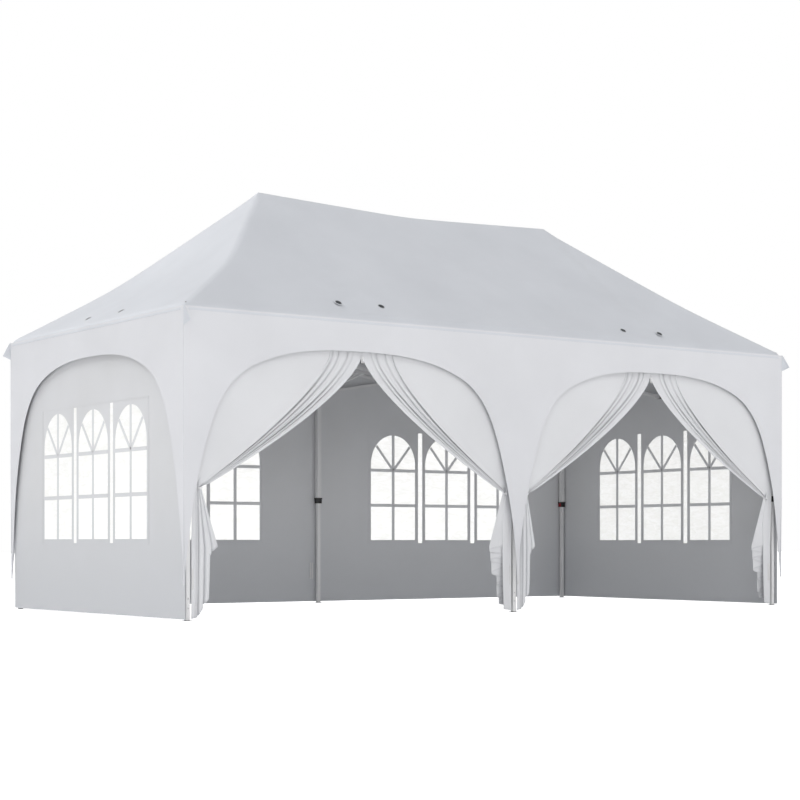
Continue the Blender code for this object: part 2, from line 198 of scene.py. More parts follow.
def join_pieces(pieces, name):
    """Joins several pieces into the first one."""
    let_go()
    for piece in pieces:
        piece.select_set(True)
    bpy.context.view_layer.objects.active = pieces[0]
    if len(pieces) > 1:
        bpy.ops.object.join()
    return just_added(name)


def fit_out(piece, material, smooth=40):
    """Gives a piece its smooth shading, its finish and the body it rides on."""
    settle(piece)
    bpy.ops.object.shade_smooth_by_angle(angle=math.radians(smooth))
    piece.data.materials.clear()
    piece.data.materials.append(material)
    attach(piece, MAIN)


# %% Lay out and sew a cloth
WELD = 0.0002


def cloth_grid(name, across, down, put):
    """A grid primitive whose points are put in place by put(share across, share down)."""
    let_go()
    bpy.ops.mesh.primitive_grid_add(x_subdivisions=across, y_subdivisions=down, size=2)
    piece = just_added(name)
    for vert in piece.data.vertices:
        u = round((vert.co.x + 1) / 2 * across) / across
        v = round((1 - vert.co.y) / 2 * down) / down
        vert.co = put(u, v)
    return piece


def sew_up(piece, thickness, outward=None, offset=-1.0):
    """Welds a cloth's doubled points, turns it the right way and gives it its thickness."""
    in_edit_mode(piece, (bpy.ops.mesh.remove_doubles, {"threshold": WELD}),
                 (bpy.ops.mesh.normals_make_consistent, {"inside": False}))
    if outward:
        total = sum((face.normal * face.area for face in piece.data.polygons), Vector())
        if total.dot(Vector(outward)) < 0:
            in_edit_mode(piece, (bpy.ops.mesh.flip_normals, {}))
    apply_modifier(piece, "SOLIDIFY", thickness=thickness, offset=offset)


def ease(low, high, value):
    """A smooth step from 0 at low to 1 at high."""
    share = min(1.0, max(0.0, (value - low) / (high - low)))
    return share * share * (3 - 2 * share)


def mix(first, second, share):
    """A value at a share of the way from the first to the second."""
    return first + (second - first) * share


# %% [markdown]
# ## The camera
# The photo was taken from the front left with a long lens, near the ground, with the camera
# level. Its place was worked out from the eave corners and the wall hems. The picture is shifted
# up so that the tall roof fits while the walls stay upright.

# %% Place the camera
CAMERA_PLACE = (-9.1274, -12.8043, 0.5465)
CAMERA_TURN = -35.215
CAMERA_LENS = 82.264
CAMERA_SHIFT = 0.17933

let_go()
bpy.ops.object.camera_add(location=CAMERA_PLACE,
                          rotation=(QUARTER, 0.0, math.radians(CAMERA_TURN)))
camera = bpy.context.object
camera.name = "camera"
camera.data.sensor_width = 36.0
camera.data.lens = CAMERA_LENS
camera.data.shift_y = CAMERA_SHIFT
camera.data.clip_end = 200.0
bpy.context.scene.camera = camera
print("camera at", CAMERA_PLACE, "with a lens of", CAMERA_LENS, "mm")

# %% [markdown]
# ## Nodes and colours
# Colours are written as sRGB hex values, the way a paint program shows them, and turned to the
# linear values that shaders use. One helper adds a node, sets its sockets or properties, and
# links what feeds it. A link names a node, for its main output, or one of its other outputs.

# %% Add nodes and read colours
def linear(hex_colour):
    """Linear RGBA of an sRGB hex colour such as D9DBDF."""
    values = []
    for start in (0, 2, 4):
        part = int(hex_colour[start:start + 2], 16) / 255
        values.append(part / 12.92 if part <= 0.04045 else ((part + 0.055) / 1.055) ** 2.4)
    return (*values, 1.0)


def main_output(source):
    """The output a node is used for: its Result, or else its first one."""
    if not isinstance(source, bpy.types.Node):
        return source
    return source.outputs["Result" if "Result" in source.outputs else 0]


def add_node(tree, kind, settings=None, links=None):
    """Adds a node. Settings name sockets or properties, links the sockets that a node feeds."""
    node = tree.nodes.new(kind)
    for name, value in (settings or {}).items():
        if isinstance(name, int) or name in node.inputs:
            node.inputs[name].default_value = value
        else:
            setattr(node, name, value)
    for name, source in (links or {}).items():
        tree.links.new(main_output(source), node.inputs[name])
    return node


def new_material(name):
    """A material with no nodes yet, and the tree to build them in."""
    material = bpy.data.materials.new(name)
    material.use_nodes = True
    tree = material.node_tree
    tree.nodes.clear()
    return material, tree


# %% [markdown]
# ## Studio light
# The picture is lit like a catalogue photo. In front there is a bright band of light low down and
# another well above it, the sides and the back are dim, and one very large soft lamp stands high
# behind the tent, to the left, and brightens the roof. The world is a gradient over the direction
# of the light, with one curve of (height, strength) for the front and one for the rest, and the
# camera sees plain white. A curve only holds values up to 1, so the strengths are scaled down in
# it and scaled up again after it.

# %% Light the studio
SKY_FRONT = ((0.0, 2.27), (0.35, 0.12), (0.65, 1.90), (1.0, 0.0))
SKY_SIDE = ((0.0, 0.18), (1.0, 0.18))
SKY_TOP = 4.0
FRONT_FROM, FRONT_TO = 0.2, -0.8
KEY_STRENGTH = 2.10
KEY_DIRECTION = Vector((-0.34, 0.60, 0.72))
KEY_ANGLE = 50

bpy.context.scene.view_settings.view_transform = "Standard"
world = bpy.data.worlds.new("studio")
bpy.context.scene.world = world
world.use_nodes = True
sky = world.node_tree
sky.nodes.clear()
direction = add_node(sky, "ShaderNodeTexCoord").outputs["Generated"]
parts = add_node(sky, "ShaderNodeSeparateXYZ", links={0: direction})
frontal = add_node(sky, "ShaderNodeMapRange", {"From Min": FRONT_FROM, "From Max": FRONT_TO},
                   {"Value": parts.outputs["Y"]})
curves = []
for steps in (SKY_SIDE, SKY_FRONT):
    rise = add_node(sky, "ShaderNodeFloatCurve", links={"Value": parts.outputs["Z"]})
    curve = rise.mapping.curves[0]
    scaled = [(up, value / SKY_TOP) for up, value in steps]
    curve.points[0].location = scaled[0]
    curve.points[1].location = scaled[-1]
    for up, value in scaled[1:-1]:
        curve.points.new(up, value)
    for point in curve.points:
        point.handle_type = "VECTOR"
    rise.mapping.update()
    curves.append(rise)
blend = add_node(sky, "ShaderNodeMix", {"data_type": "FLOAT"},
                 {"Factor": frontal, "A": curves[0], "B": curves[1]})
glow = add_node(sky, "ShaderNodeMath", {"operation": "MULTIPLY", 1: SKY_TOP},
                {0: blend})
seen = add_node(sky, "ShaderNodeLightPath").outputs["Is Camera Ray"]
strength = add_node(sky, "ShaderNodeMix", {"data_type": "FLOAT", "B": 1.0},
                    {"Factor": seen, "A": glow})
back_light = add_node(sky, "ShaderNodeBackground", {"Color": (1.0, 1.0, 1.0, 1.0)},
                      {"Strength": strength})
add_node(sky, "ShaderNodeOutputWorld", links={"Surface": back_light})

let_go()
bpy.ops.object.light_add(type="SUN", location=KEY_DIRECTION * 10)
key = bpy.context.object
key.name = "large soft lamp"
key.rotation_euler = KEY_DIRECTION.to_track_quat("Z", "Y").to_euler()
key.data.energy = KEY_STRENGTH
key.data.angle = math.radians(KEY_ANGLE)
print("sky curves:", len(curves), "and a soft lamp from", tuple(KEY_DIRECTION))

# %% [markdown]
# ## The floor
# A pale, matt studio floor. To the camera it also glows, as an overexposed white floor does, so
# that it meets the white behind it without an edge and keeps only a faint shadow by the tent.

# %% Lay the floor
FLOOR_SIZE = 160.0
FLOOR_GLOW = 0.60
FLOOR_BOUNCE = 0.24

floor_paint, tree = new_material("matt white studio floor")
coordinates = add_node(tree, "ShaderNodeTexCoord").outputs["Object"]
grain = add_node(tree, "ShaderNodeTexNoise", {"Scale": 3.0, "Detail": 4.0}, {"Vector": coordinates})
tone = add_node(tree, "ShaderNodeMix",
                {"data_type": "RGBA", "A": linear("F7F7F7"), "B": linear("FBFBFB")},
                {"Factor": grain})
seen = add_node(tree, "ShaderNodeLightPath").outputs["Is Camera Ray"]
lit = add_node(tree, "ShaderNodeMath",
               {"operation": "MULTIPLY_ADD", 1: FLOOR_GLOW, 2: FLOOR_BOUNCE}, {0: seen})
paint = add_node(tree, "ShaderNodeBsdfPrincipled",
                 {"Roughness": 0.9, "Emission Color": (1, 1, 1, 1)},
                 {"Base Color": tone, "Emission Strength": lit})
add_node(tree, "ShaderNodeOutputMaterial", links={"Surface": paint})

let_go()
bpy.ops.mesh.primitive_plane_add(size=FLOOR_SIZE)
floor = bpy.context.object
floor.name = "studio_floor"
floor.data.materials.append(floor_paint)
print("floor:", FLOOR_SIZE, "m square")

# %% [markdown]
# ## Coated polyester
# The cover, skirts, walls and curtains are woven polyester with a white coating. The coating
# makes it matt with a faint sheen and hides most of the weave, so what the eye sees is a slightly
# cool white with broad, very soft changes of tone. The real threads are 0.4 mm apart, far too
# fine to show here, so the weave is drawn at 3 mm and kept very shallow. The cover's downward
# faces get a grey back that is painted shade, the walls are painted darker towards the ground as
# painted shade, and the doubled, stitched curtain hems are painted darker, as painted shade. A
# part of the light passes through the cloth, most of it through the thin walls.

# %% Weave the cloth
THREAD_PITCH = 0.003
# Height below which the walls get painted shade that deepens towards the ground.
GROUND_SHADE_TOP = 1.25


def coated_polyester(name, light, shade, through, ground_shade=None):
    """White coated cloth; through is the share of light passing it, the last the painted shade at
    the ground.
    """
    material, tree = new_material(name)
    place = add_node(tree, "ShaderNodeTexCoord").outputs["Object"]
    cloud = add_node(tree, "ShaderNodeTexNoise", {"Scale": 1.4, "Detail": 3.0, "Roughness": 0.55},
                     {"Vector": place})
    speck = add_node(tree, "ShaderNodeTexNoise", {"Scale": 220.0, "Detail": 2.0}, {"Vector": place})
    blend = add_node(tree, "ShaderNodeMath", {"operation": "MULTIPLY_ADD", 1: 0.25},
                     {0: speck, 2: cloud})
    spread = add_node(tree, "ShaderNodeMapRange", {"From Min": 0.42, "From Max": 0.86},
                      {"Value": blend})
    tone = add_node(tree, "ShaderNodeMix",
                    {"data_type": "RGBA", "A": linear(shade), "B": linear(light)},
                    {"Factor": spread})
    axes = add_node(tree, "ShaderNodeSeparateXYZ", links={0: place})
    # Painted shade: below that height the tone darkens smoothly towards the ground.
    if ground_shade:
        fall = add_node(tree, "ShaderNodeMapRange",
                        {"interpolation_type": "SMOOTHSTEP", "From Min": GROUND_SHADE_TOP, "From Max": 0.0},
                        {"Value": axes.outputs["Z"]})
        tone = add_node(tree, "ShaderNodeMix", {"data_type": "RGBA", "B": linear(ground_shade)},
                        {"Factor": fall, "A": tone})
    height = None
    for axis in ("X", "Y", "Z"):
        turn = add_node(tree, "ShaderNodeMath",
                        {"operation": "MULTIPLY", 1: 2 * math.pi / THREAD_PITCH},
                        {0: axes.outputs[axis]})
        wave = add_node(tree, "ShaderNodeMath", {"operation": "SINE"}, {0: turn})
        if height is None:
            height = wave
        else:
            height = add_node(tree, "ShaderNodeMath", {"operation": "ADD"},
                              {0: height, 1: wave})
    crease = add_node(tree, "ShaderNodeTexNoise", {"Scale": 2.6, "Detail": 4.0, "Distortion": 0.4},
                      {"Vector": place})
    soft = add_node(tree, "ShaderNodeBump", {"Strength": 0.10, "Distance": 0.03},
                    {"Height": crease})
    bump = add_node(tree, "ShaderNodeBump", {"Strength": 0.10, "Distance": 0.0002},
                    {"Height": height, "Normal": soft})
    face = add_node(tree, "ShaderNodeBsdfPrincipled",
                    {"Roughness": 0.62, "IOR": 1.45, "Sheen Weight": 0.12,
                     "Sheen Roughness": 0.5, "Specular IOR Level": 0.35},
                    {"Base Color": tone, "Normal": bump})
    glow = add_node(tree, "ShaderNodeBsdfTranslucent", links={"Color": tone})
    mixed = add_node(tree, "ShaderNodeMixShader", {0: through},
                     {1: face, 2: glow})
    add_node(tree, "ShaderNodeOutputMaterial", links={"Surface": mixed})
    return material


COVER_CLOTH = coated_polyester("coated woven polyester", "D6D9DF", "CFD2D8", through=0.005)
# Painted shade: a grey copy of the cloth for the cover's downward faces.
PAINTED_SHADE_INSIDE_CLOTH = coated_polyester("coated woven polyester, painted shade inside", "9C9EA2", "929498",
                                through=0.0)
SKIRT_CLOTH = coated_polyester("coated woven polyester, skirt", "DDDEE2", "D7D8DC", through=0.02)
# Painted shade: the wall cloth darkens towards the ground.
WALL_CLOTH = coated_polyester("coated woven polyester, wall with painted ground shade", "DCDDE0", "D6D7D9", through=0.08,
                              ground_shade="C6C8CC")
CURTAIN_CLOTH = coated_polyester("coated woven polyester, curtain", "E1E2E5", "DBDCDF",
                                 through=0.04)
# Painted shade: a darker copy of the curtain cloth, so that the hems show as shaded lines.
PAINTED_SHADE_HEM_CLOTH = coated_polyester("coated woven polyester, stitched hem with painted shade", "D9DADD", "D2D3D7",
                             through=0.01)
print("six cloth finishes, from", COVER_CLOTH.name, "to", PAINTED_SHADE_HEM_CLOTH.name)

# %% [markdown]
# ## The clear window sheet
# The windows are soft film, welded behind the cut openings. It is milky rather than clear: it
# scatters the daylight, so that from either side it looks almost white, with faint ripples where
# it was rolled up. Part of the light passes straight, part is scattered forwards and part back,
# and a faint glow stands for the daylight that the film is full of.

# %% Cast the film
FILM_CLEAR = 0.16
FILM_FORWARD = 0.55
FILM_GLOW = 0.57


def window_film():
    """Milky flexible film with faint ripples."""
    material, tree = new_material("soft clear vinyl film")
    place = add_node(tree, "ShaderNodeTexCoord").outputs["Object"]
    squeeze = add_node(tree, "ShaderNodeMapping", {"Scale": (1.0, 1.0, 3.2)}, {"Vector": place})
    ripple = add_node(tree, "ShaderNodeTexNoise",
                      {"Scale": 9.0, "Detail": 5.0, "Roughness": 0.65, "Distortion": 1.2},
                      {"Vector": squeeze})
    spread = add_node(tree, "ShaderNodeMapRange", {"From Min": 0.35, "From Max": 0.70},
                      {"Value": ripple})
    tone = add_node(tree, "ShaderNodeMix",
                    {"data_type": "RGBA", "A": linear("F3F3F1"), "B": linear("FDFDFD")},
                    {"Factor": spread})
    bump = add_node(tree, "ShaderNodeBump", {"Strength": 0.15, "Distance": 0.003},
                    {"Height": ripple})
    face = add_node(tree, "ShaderNodeBsdfPrincipled",
                    {"Roughness": 0.18, "IOR": 1.53, "Emission Strength": FILM_GLOW},
                    {"Base Color": tone, "Emission Color": tone,
                     "Normal": bump})
    forward = add_node(tree, "ShaderNodeBsdfTranslucent", links={"Color": tone})
    straight = add_node(tree, "ShaderNodeBsdfTransparent", {"Color": (0.97, 0.97, 0.97, 1.0)})
    milky = add_node(tree, "ShaderNodeMixShader", {0: FILM_FORWARD},
                     {1: face, 2: forward})
    whole = add_node(tree, "ShaderNodeMixShader", {0: FILM_CLEAR},
                     {1: milky, 2: straight})
    add_node(tree, "ShaderNodeOutputMaterial", links={"Surface": whole})
    return material


WINDOW_FILM = window_film()
print("film finish:", WINDOW_FILM.name)

# %% [markdown]
# ## Powder coat, nylon and small fittings
# The frame is steel tube with a pale grey powder coat, which dries with a very fine orange-peel
# texture, and its feet are zinc plated. Lock collars and brackets are black moulded nylon, matt
# with a slight grain. Buttons are glossy red plastic, and the eyelets are stamped steel that has
# dulled, with a dark mesh. Webbing and touch tape are woven, matt and a little rough.

# %% Coat, mould and stamp
FOOT_HEIGHT = 0.0045
GLOSS_SPREAD = 0.06


def solid_finish(name, light, shade, roughness, grain, depth, metallic=0.0, foot=None):
    """Two close tones and a grain, in metres; foot is the tone of the foot plate."""
    material, tree = new_material(name)
    place = add_node(tree, "ShaderNodeTexCoord").outputs["Object"]
    cloud = add_node(tree, "ShaderNodeTexNoise", {"Scale": 3.0, "Detail": 4.0}, {"Vector": place})
    tone = add_node(tree, "ShaderNodeMix",
                    {"data_type": "RGBA", "A": linear(shade), "B": linear(light)},
                    {"Factor": cloud})
    if foot:
        upright = add_node(tree, "ShaderNodeSeparateXYZ", links={0: place})
        low = add_node(tree, "ShaderNodeMath", {"operation": "LESS_THAN", 1: FOOT_HEIGHT},
                       {0: upright.outputs["Z"]})
        tone = add_node(tree, "ShaderNodeMix", {"data_type": "RGBA", "B": linear(foot)},
                        {"Factor": low, "A": tone})
    dull = add_node(tree, "ShaderNodeMapRange",
                    {"To Min": roughness - GLOSS_SPREAD, "To Max": roughness + GLOSS_SPREAD},
                    {"Value": cloud})
    peel = add_node(tree, "ShaderNodeTexNoise", {"Scale": 1 / grain, "Detail": 2.0},
                    {"Vector": place})
    bump = add_node(tree, "ShaderNodeBump", {"Strength": 0.35, "Distance": depth},
                    {"Height": peel})
    face = add_node(tree, "ShaderNodeBsdfPrincipled", {"Metallic": metallic, "IOR": 1.5},
                    {"Base Color": tone, "Roughness": dull,
                     "Normal": bump})
    add_node(tree, "ShaderNodeOutputMaterial", links={"Surface": face})
    return material


COAT_GRAIN = {"roughness": 0.42, "grain": 0.0015, "depth": 0.0001}
POWDER_COAT = solid_finish("pale grey powder coat", "E4E4E5", "DADADB", **COAT_GRAIN)
COATED_LEG = solid_finish("pale grey powder coat over a zinc plated foot", "E4E4E5", "DADADB",
                          foot="5F6166", **COAT_GRAIN)
BLACK_NYLON = solid_finish("black moulded nylon", "2A2A2B", "1B1B1C",
                           roughness=0.5, grain=0.0008, depth=0.0001)
RED_BUTTON = solid_finish("red moulded plastic", "A3262B", "86191E",
                          roughness=0.35, grain=0.002, depth=0.00005)
EYELET_STEEL = solid_finish("stamped steel eyelet", "D4D6D9", "B9BBBF",
                            roughness=0.4, grain=0.002, depth=0.00005, metallic=0.5)
EYELET_MESH = solid_finish("dark drain mesh", "4A4D52", "33363A",
                           roughness=0.7, grain=0.003, depth=0.001)
TAPE = solid_finish("white webbing tape", "F0F0F1", "E4E4E6",
                    roughness=0.8, grain=0.002, depth=0.0004)
TOUCH_TAPE = solid_finish("hook and loop tape", "E6E6E6", "CFCFD0",
                          roughness=0.95, grain=0.0015, depth=0.0008)
print("hard finishes, from", POWDER_COAT.name, "to", TOUCH_TAPE.name)

# %% [markdown]
# ## The roof cover
# The cover is one sewn cloth pulled tight over two peak poles. Its long faces are flat, its end
# faces break softly where they pass over the frame, and the ridge dips a little between the
# peaks. It is one grid: each row runs right round the roof at one level, from the ridge down,
# and the last rows roll over the eave and hang down as the rounded fold that the skirts are sewn
# under. Corners of the rows are small arcs, so that the hips are soft edges and not knife edges.
# An end face falls steeply from the peak by KINK_DROP over KINK_RUN, and then more gently to the
# eave. The inside of the cloth, which faces down, gets a grey finish that is painted shade.

# %% Size the roof
KINK_RUN = 0.82
KINK_DROP = 0.755
STEEP = KINK_DROP / KINK_RUN
SHALLOW = (PEAK - KINK_DROP - EAVE) / (PEAK_X - KINK_RUN)
KINK_SOFTNESS = 0.16
RIDGE_SAG = 0.06
SAG_SOFTNESS = 0.02
RIDGE_SOFTNESS = 0.018
HIP_RADIUS = 0.05
LONG_COLUMNS = 60
END_COLUMNS = 30
ARC_COLUMNS = 6
ROUND_COLUMNS = 2 * (LONG_COLUMNS + END_COLUMNS) + 4 * ARC_COLUMNS
ROOF_ROWS = 56
FOLD_ROWS = 10
COVER_ROWS = ROOF_ROWS + FOLD_ROWS
ROW_CROWDING = 1.15
FOLD_LEVEL = 0.022
EDGE_RUN = PEAK_X - FOLD_LEVEL / SHALLOW
FOLD_DROP = 0.040
FOLD_OUT = 0.0015
CLOTH = 0.0012
UNDERSIDE = -0.05
print("end faces fall", round(STEEP, 3), "above the break and", round(SHALLOW, 3), "below it")


# %% Work out its heights
def soft_corner(value, width):
    """Like max(0, value), with a corner rounded over about the width."""
    return (value + math.sqrt(value * value + width * width)) / 2


def end_height(run):
    """Height of an end face at a distance outside the peak."""
    soft = soft_corner(run - KINK_RUN, KINK_SOFTNESS) - soft_corner(-KINK_RUN, KINK_SOFTNESS)
    return PEAK - STEEP * run + (STEEP - SHALLOW) * soft


def long_height(x, y):
    """Height of a long face, with the dip between the peaks and a rounded ridge."""
    across = abs(x) / PEAK_X
    if across > 1:
        dip = 0.0
    else:
        dip = max(0.0, 1 - math.sqrt(across * across + SAG_SOFTNESS) + 0.01 * across)
        dip *= RIDGE_SAG * (1 - abs(y) / HALF_W) ** 2
    rise = math.sqrt(y * y + RIDGE_SOFTNESS ** 2) - RIDGE_SOFTNESS
    return PEAK - ROOF_SLOPE * rise - dip


# %% Walk round it
def round_rectangle(half_x, half_y, radius, share):
    """A point at a share of the way round a rectangle with small round corners."""
    column = round(share * ROUND_COLUMNS) % ROUND_COLUMNS
    sides = ((LONG_COLUMNS, 0), (END_COLUMNS, 1), (LONG_COLUMNS, 2), (END_COLUMNS, 3))
    for count, side in sides:
        quarter = QUARTER * side
        if column <= count:
            along = 2 * column / count - 1
            straight = (half_x if side % 2 == 0 else half_y) - radius
            out = half_y if side % 2 == 0 else half_x
            x, y = along * straight, -out
            return (x * math.cos(quarter) - y * math.sin(quarter),
                    x * math.sin(quarter) + y * math.cos(quarter))
        column -= count
        if column < ARC_COLUMNS:
            angle = quarter - QUARTER * (1 - column / ARC_COLUMNS)
            corner_x = (half_x - radius) * (1 if side in (0, 1) else -1)
            corner_y = (half_y - radius) * (-1 if side in (0, 3) else 1)
            return corner_x + radius * math.cos(angle), corner_y + radius * math.sin(angle)
        column -= ARC_COLUMNS


def roof_point(u, v):
    """A point of the cover: u round the roof, v from the ridge over the eave fold."""
    row = round(v * COVER_ROWS)
    if row <= ROOF_ROWS:
        run = EDGE_RUN * (row / ROOF_ROWS) ** ROW_CROWDING
        level = end_height(run)
        half_y = (PEAK - level) / ROOF_SLOPE
        radius = min(HIP_RADIUS, 0.45 * half_y)
        x, y = round_rectangle(PEAK_X + run, half_y, radius, u)
        if abs(x) < PEAK_X:
            return x, y, long_height(x, y)
        return x, y, level
    share = (row - ROOF_ROWS) / FOLD_ROWS
    back = (1 - share) ** 2
    level = end_height(EDGE_RUN)
    half_y = HALF_W - (HALF_W - (PEAK - level) / ROOF_SLOPE) * back + FOLD_OUT * (1 - back)
    half_x = HALF_L - (PEAK_X - EDGE_RUN) * back + FOLD_OUT * (1 - back)
    z = back * level + 2 * share * (1 - share) * EAVE + share * share * (EAVE - FOLD_DROP)
    x, y = round_rectangle(half_x, half_y, HIP_RADIUS, u)
    return x, y, z


# %% Lay the cover
roof = cloth_grid("two_peaked_cover", ROUND_COLUMNS, COVER_ROWS, roof_point)
sew_up(roof, CLOTH, outward=(0, 0, 1))
fit_out(roof, COVER_CLOTH)
# Painted shade: the faces of the cover that point down take the grey finish.
roof.data.materials.append(PAINTED_SHADE_INSIDE_CLOTH)
for face in roof.data.polygons:
    face.material_index = 1 if face.normal.z < UNDERSIDE else 0
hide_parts("roof_cover")
print("roof cover:", len(roof.data.polygons), "faces")

# %% [markdown]
# ## The skirts
# Under the eave hangs a deep skirt. Each bay is cut to one wide arch, square in the shoulders and
# drawn in a little below them. Beside the arch the cloth runs down the leg as a column that narrows
# to a tip, where a tape ties it in to the leg. The columns at the corners stay wider.
# The grid follows the cut: its first row is the outer edge of the bay, and its last row is the
# hem of the arch, which is turned up and stitched, so it is a little thicker. The arch takes most
# of the cloth away.

# %% Size the skirts
ARCH_TOP = 1.975
SHOULDER_Z = 1.0
SHOULDER_HALF = 1.388
ARCH_POWER = 2.6
ARCH_WAIST = 0.060
ARCH_WAIST_RISE = 0.8
TIP_Z = 0.25
# Half width of a column's tip, and the power by which it widens towards the shoulder.
MIDDLE_COLUMN = (0.006, 1.75)
CORNER_COLUMN = (0.014, 1.4)
SKIRT_TOP = EAVE - 0.012
LEAN_IN = 0.010
SKIRT_BELLY = 0.004
COLUMN_ROWS = 22
ARCH_COLUMNS = 72
EDGE_COLUMNS = 2 * COLUMN_ROWS + ARCH_COLUMNS
CORNER_STEP = 19
SKIRT_ROWS = 14
SEAM_GAP = 0.0016
SKIRT_HEM = 0.016
HEM_PROUD = 0.0005
HEM_CLOTH_THICK = CLOTH + 0.001


# %% Cut the arches
def arch_point(share, columns):
    """Inner edge of a bay's skirt, from the left tip over the arch to the right tip."""
    step = round(share * EDGE_COLUMNS)
    side = -1
    if step > EDGE_COLUMNS / 2:
        step = EDGE_COLUMNS - step
        side = 1
    if step < COLUMN_ROWS:
        up = step / COLUMN_ROWS
        tip, power = columns[0 if side < 0 else 1]
        half = tip + (PEAK_X - SHOULDER_HALF - tip) * up ** power
        return side * (PEAK_X - half), TIP_Z + (SHOULDER_Z - TIP_Z) * up
    angle = math.pi * (1 - (step - COLUMN_ROWS) / ARCH_COLUMNS)
    across = abs(math.cos(angle)) ** (2 / ARCH_POWER)
    up = math.sin(angle) ** (2 / ARCH_POWER)
    rise = (ARCH_TOP - SHOULDER_Z) * up
    waist = ARCH_WAIST * math.sin(math.pi * min(1.0, rise / ARCH_WAIST_RISE))
    return side * (SHOULDER_HALF * across - waist), SHOULDER_Z + rise


def skirt_edge(share, columns):
    """Outer edge of a bay's skirt: up one side, along the top and down the other side."""
    x, z = arch_point(share, columns)
    if z <= SHOULDER_Z:
        return math.copysign(PEAK_X, x), z
    step = round(min(share, 1 - share) * EDGE_COLUMNS) - COLUMN_ROWS
    if step <= CORNER_STEP:
        return math.copysign(PEAK_X, x), mix(SHOULDER_Z, SKIRT_TOP, step / CORNER_STEP)
    inward = (step - CORNER_STEP) / (ARCH_COLUMNS / 2 - CORNER_STEP)
    return math.copysign(PEAK_X * (1 - inward), x), SKIRT_TOP


def skirt_point(middle, half_length, columns):
    """Makes the placing function of one bay, in the skirt's own plane: (along, depth, height)."""
    def put(u, v):
        outer_x, outer_z = skirt_edge(u, columns)
        inner_x, inner_z = arch_point(u, columns)
        x = mix(outer_x, inner_x, v) + middle
        z = mix(outer_z, inner_z, v)
        x = max(-half_length, min(half_length, x))
        lean = LEAN_IN * ease(SHOULDER_Z + 0.15, TIP_Z, z)
        belly = math.sin(math.pi * ease(EAVE, ARCH_TOP - 0.4, z)) * math.cos(x - middle)
        return x, lean - SKIRT_BELLY * belly, z
    return put


def skirt_hem_point(middle, half_length, columns):
    """Like skirt_point, for the turned-up hem along the arch, just proud of the cloth."""
    place = skirt_point(middle, half_length, columns)

    def put(u, v):
        outer, inner = place(u, 0.0), place(u, 1.0)
        width = math.hypot(outer[0] - inner[0], outer[2] - inner[2])
        x, y, z = place(u, 1 - (1 - v) * min(SKIRT_HEM / width, 0.8))
        return x, y - HEM_PROUD, z
    return put


# %% Sew and hang the skirts
def make_skirt(name, middles, half_length, distance, turn, node):
    """All bays of one side and their hems, turned to face their own way."""
    bays = []
    hems = []
    for middle in middles:
        columns = (CORNER_COLUMN if middle == middles[0] else MIDDLE_COLUMN,
                   CORNER_COLUMN if middle == middles[-1] else MIDDLE_COLUMN)
        for pieces, rows, shape in ((bays, SKIRT_ROWS, skirt_point), (hems, 2, skirt_hem_point)):
            put = shape(middle, half_length, columns)
            pieces.append(cloth_grid(name, EDGE_COLUMNS, rows, put))
    piece = join_pieces(bays, name)
    hem = join_pieces(hems, name + "_hem")
    for cloth, thickness in ((piece, CLOTH), (hem, HEM_CLOTH_THICK)):
        sew_up(cloth, thickness, outward=(0, -1, 0))
        for vert in cloth.data.vertices:
            vert.co.y -= distance
        cloth.rotation_euler.z = turn
        fit_out(cloth, SKIRT_CLOTH)
    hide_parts(node)
    print(name, "has", len(piece.data.polygons), "faces")


for side, turn in (("front", 0.0), ("back", math.pi)):
    make_skirt(f"{side}_skirt", (-PEAK_X, PEAK_X), HALF_L - SEAM_GAP, HALF_W, turn,
               f"{side}_valance")
for side, turn in (("left", -QUARTER), ("right", QUARTER)):
    make_skirt(f"{side}_skirt", (0.0,), HALF_W, HALF_L, turn, f"{side}_valance")

# %% [markdown]
# ## The side walls
# Each wall is one flat cloth behind its skirt, with three arched windows and a narrow clear strip
# between them. The openings are cut with closed blocks of their outline, as a cutting die would do
# it. Bars of the same cloth are then sewn across the film: a mullion, two rails and two slanting
# bars in each window, and a narrow seam round the whole panel. Where bars cross, each lies a
# little proud of the last, so that no two faces share a plane.

# %% Size the walls and windows
WINDOW_WIDTH = 0.512
WINDOW_PITCH = 0.633
WINDOW_SILL = 0.58
WINDOW_SPRING = 1.295
WINDOW_TOP = 1.575
STRIP_HALF = 0.0245
STRIP_LOW = 0.549
STRIP_HIGH = 1.606
RAIL_HEIGHTS = (0.9085, 1.2405)
RAIL_WIDTH = 0.029
MULLION_WIDTH = 0.032
SLANT_WIDTH = 0.026
SLANT_TOP = (0.193, 1.47)
BAR_FRONT = -0.0008
BAR_BACK = 0.0020
BAR_STEP = 0.0003
FILM_FRONT = 0.0003
FILM_BACK = 0.0009
PANEL_HALF = 0.925
PANEL_LOW = 0.535
PANEL_HIGH = 1.62
EDGE_HALF = 0.920
EDGE_LOW = 0.541
EDGE_HIGH = 1.614
EDGE_WIDTH = 0.007
HEM_DEPTH = 0.022
WALL_HEM_PROUD = 0.0006
WALL_SLACK = 0.004
WALL_RIPPLE = 0.002
SLACK_REACH = 0.3
WALL_COLUMNS = 66
WALL_ROWS = 50
ARCH_STEPS = 32
CUTTER_DEPTH = 0.05


# %% Draw outlines
def plane_outline(name, points, front, back):
    """A closed block with the given outline in the XZ plane, between two depths."""
    let_go()
    bpy.ops.mesh.primitive_circle_add(vertices=len(points), fill_type="NGON")
    piece = just_added(name)
    for vert, (x, z) in zip(piece.data.vertices, points):
        vert.co = (x, front, z)
    in_edit_mode(piece, (bpy.ops.mesh.extrude_region_move,
                         {"TRANSFORM_OT_translate": {"value": (0.0, back - front, 0.0)}}),
                 (bpy.ops.mesh.select_all, {"action": "SELECT"}),
                 (bpy.ops.mesh.normals_make_consistent, {"inside": False}))
    return piece


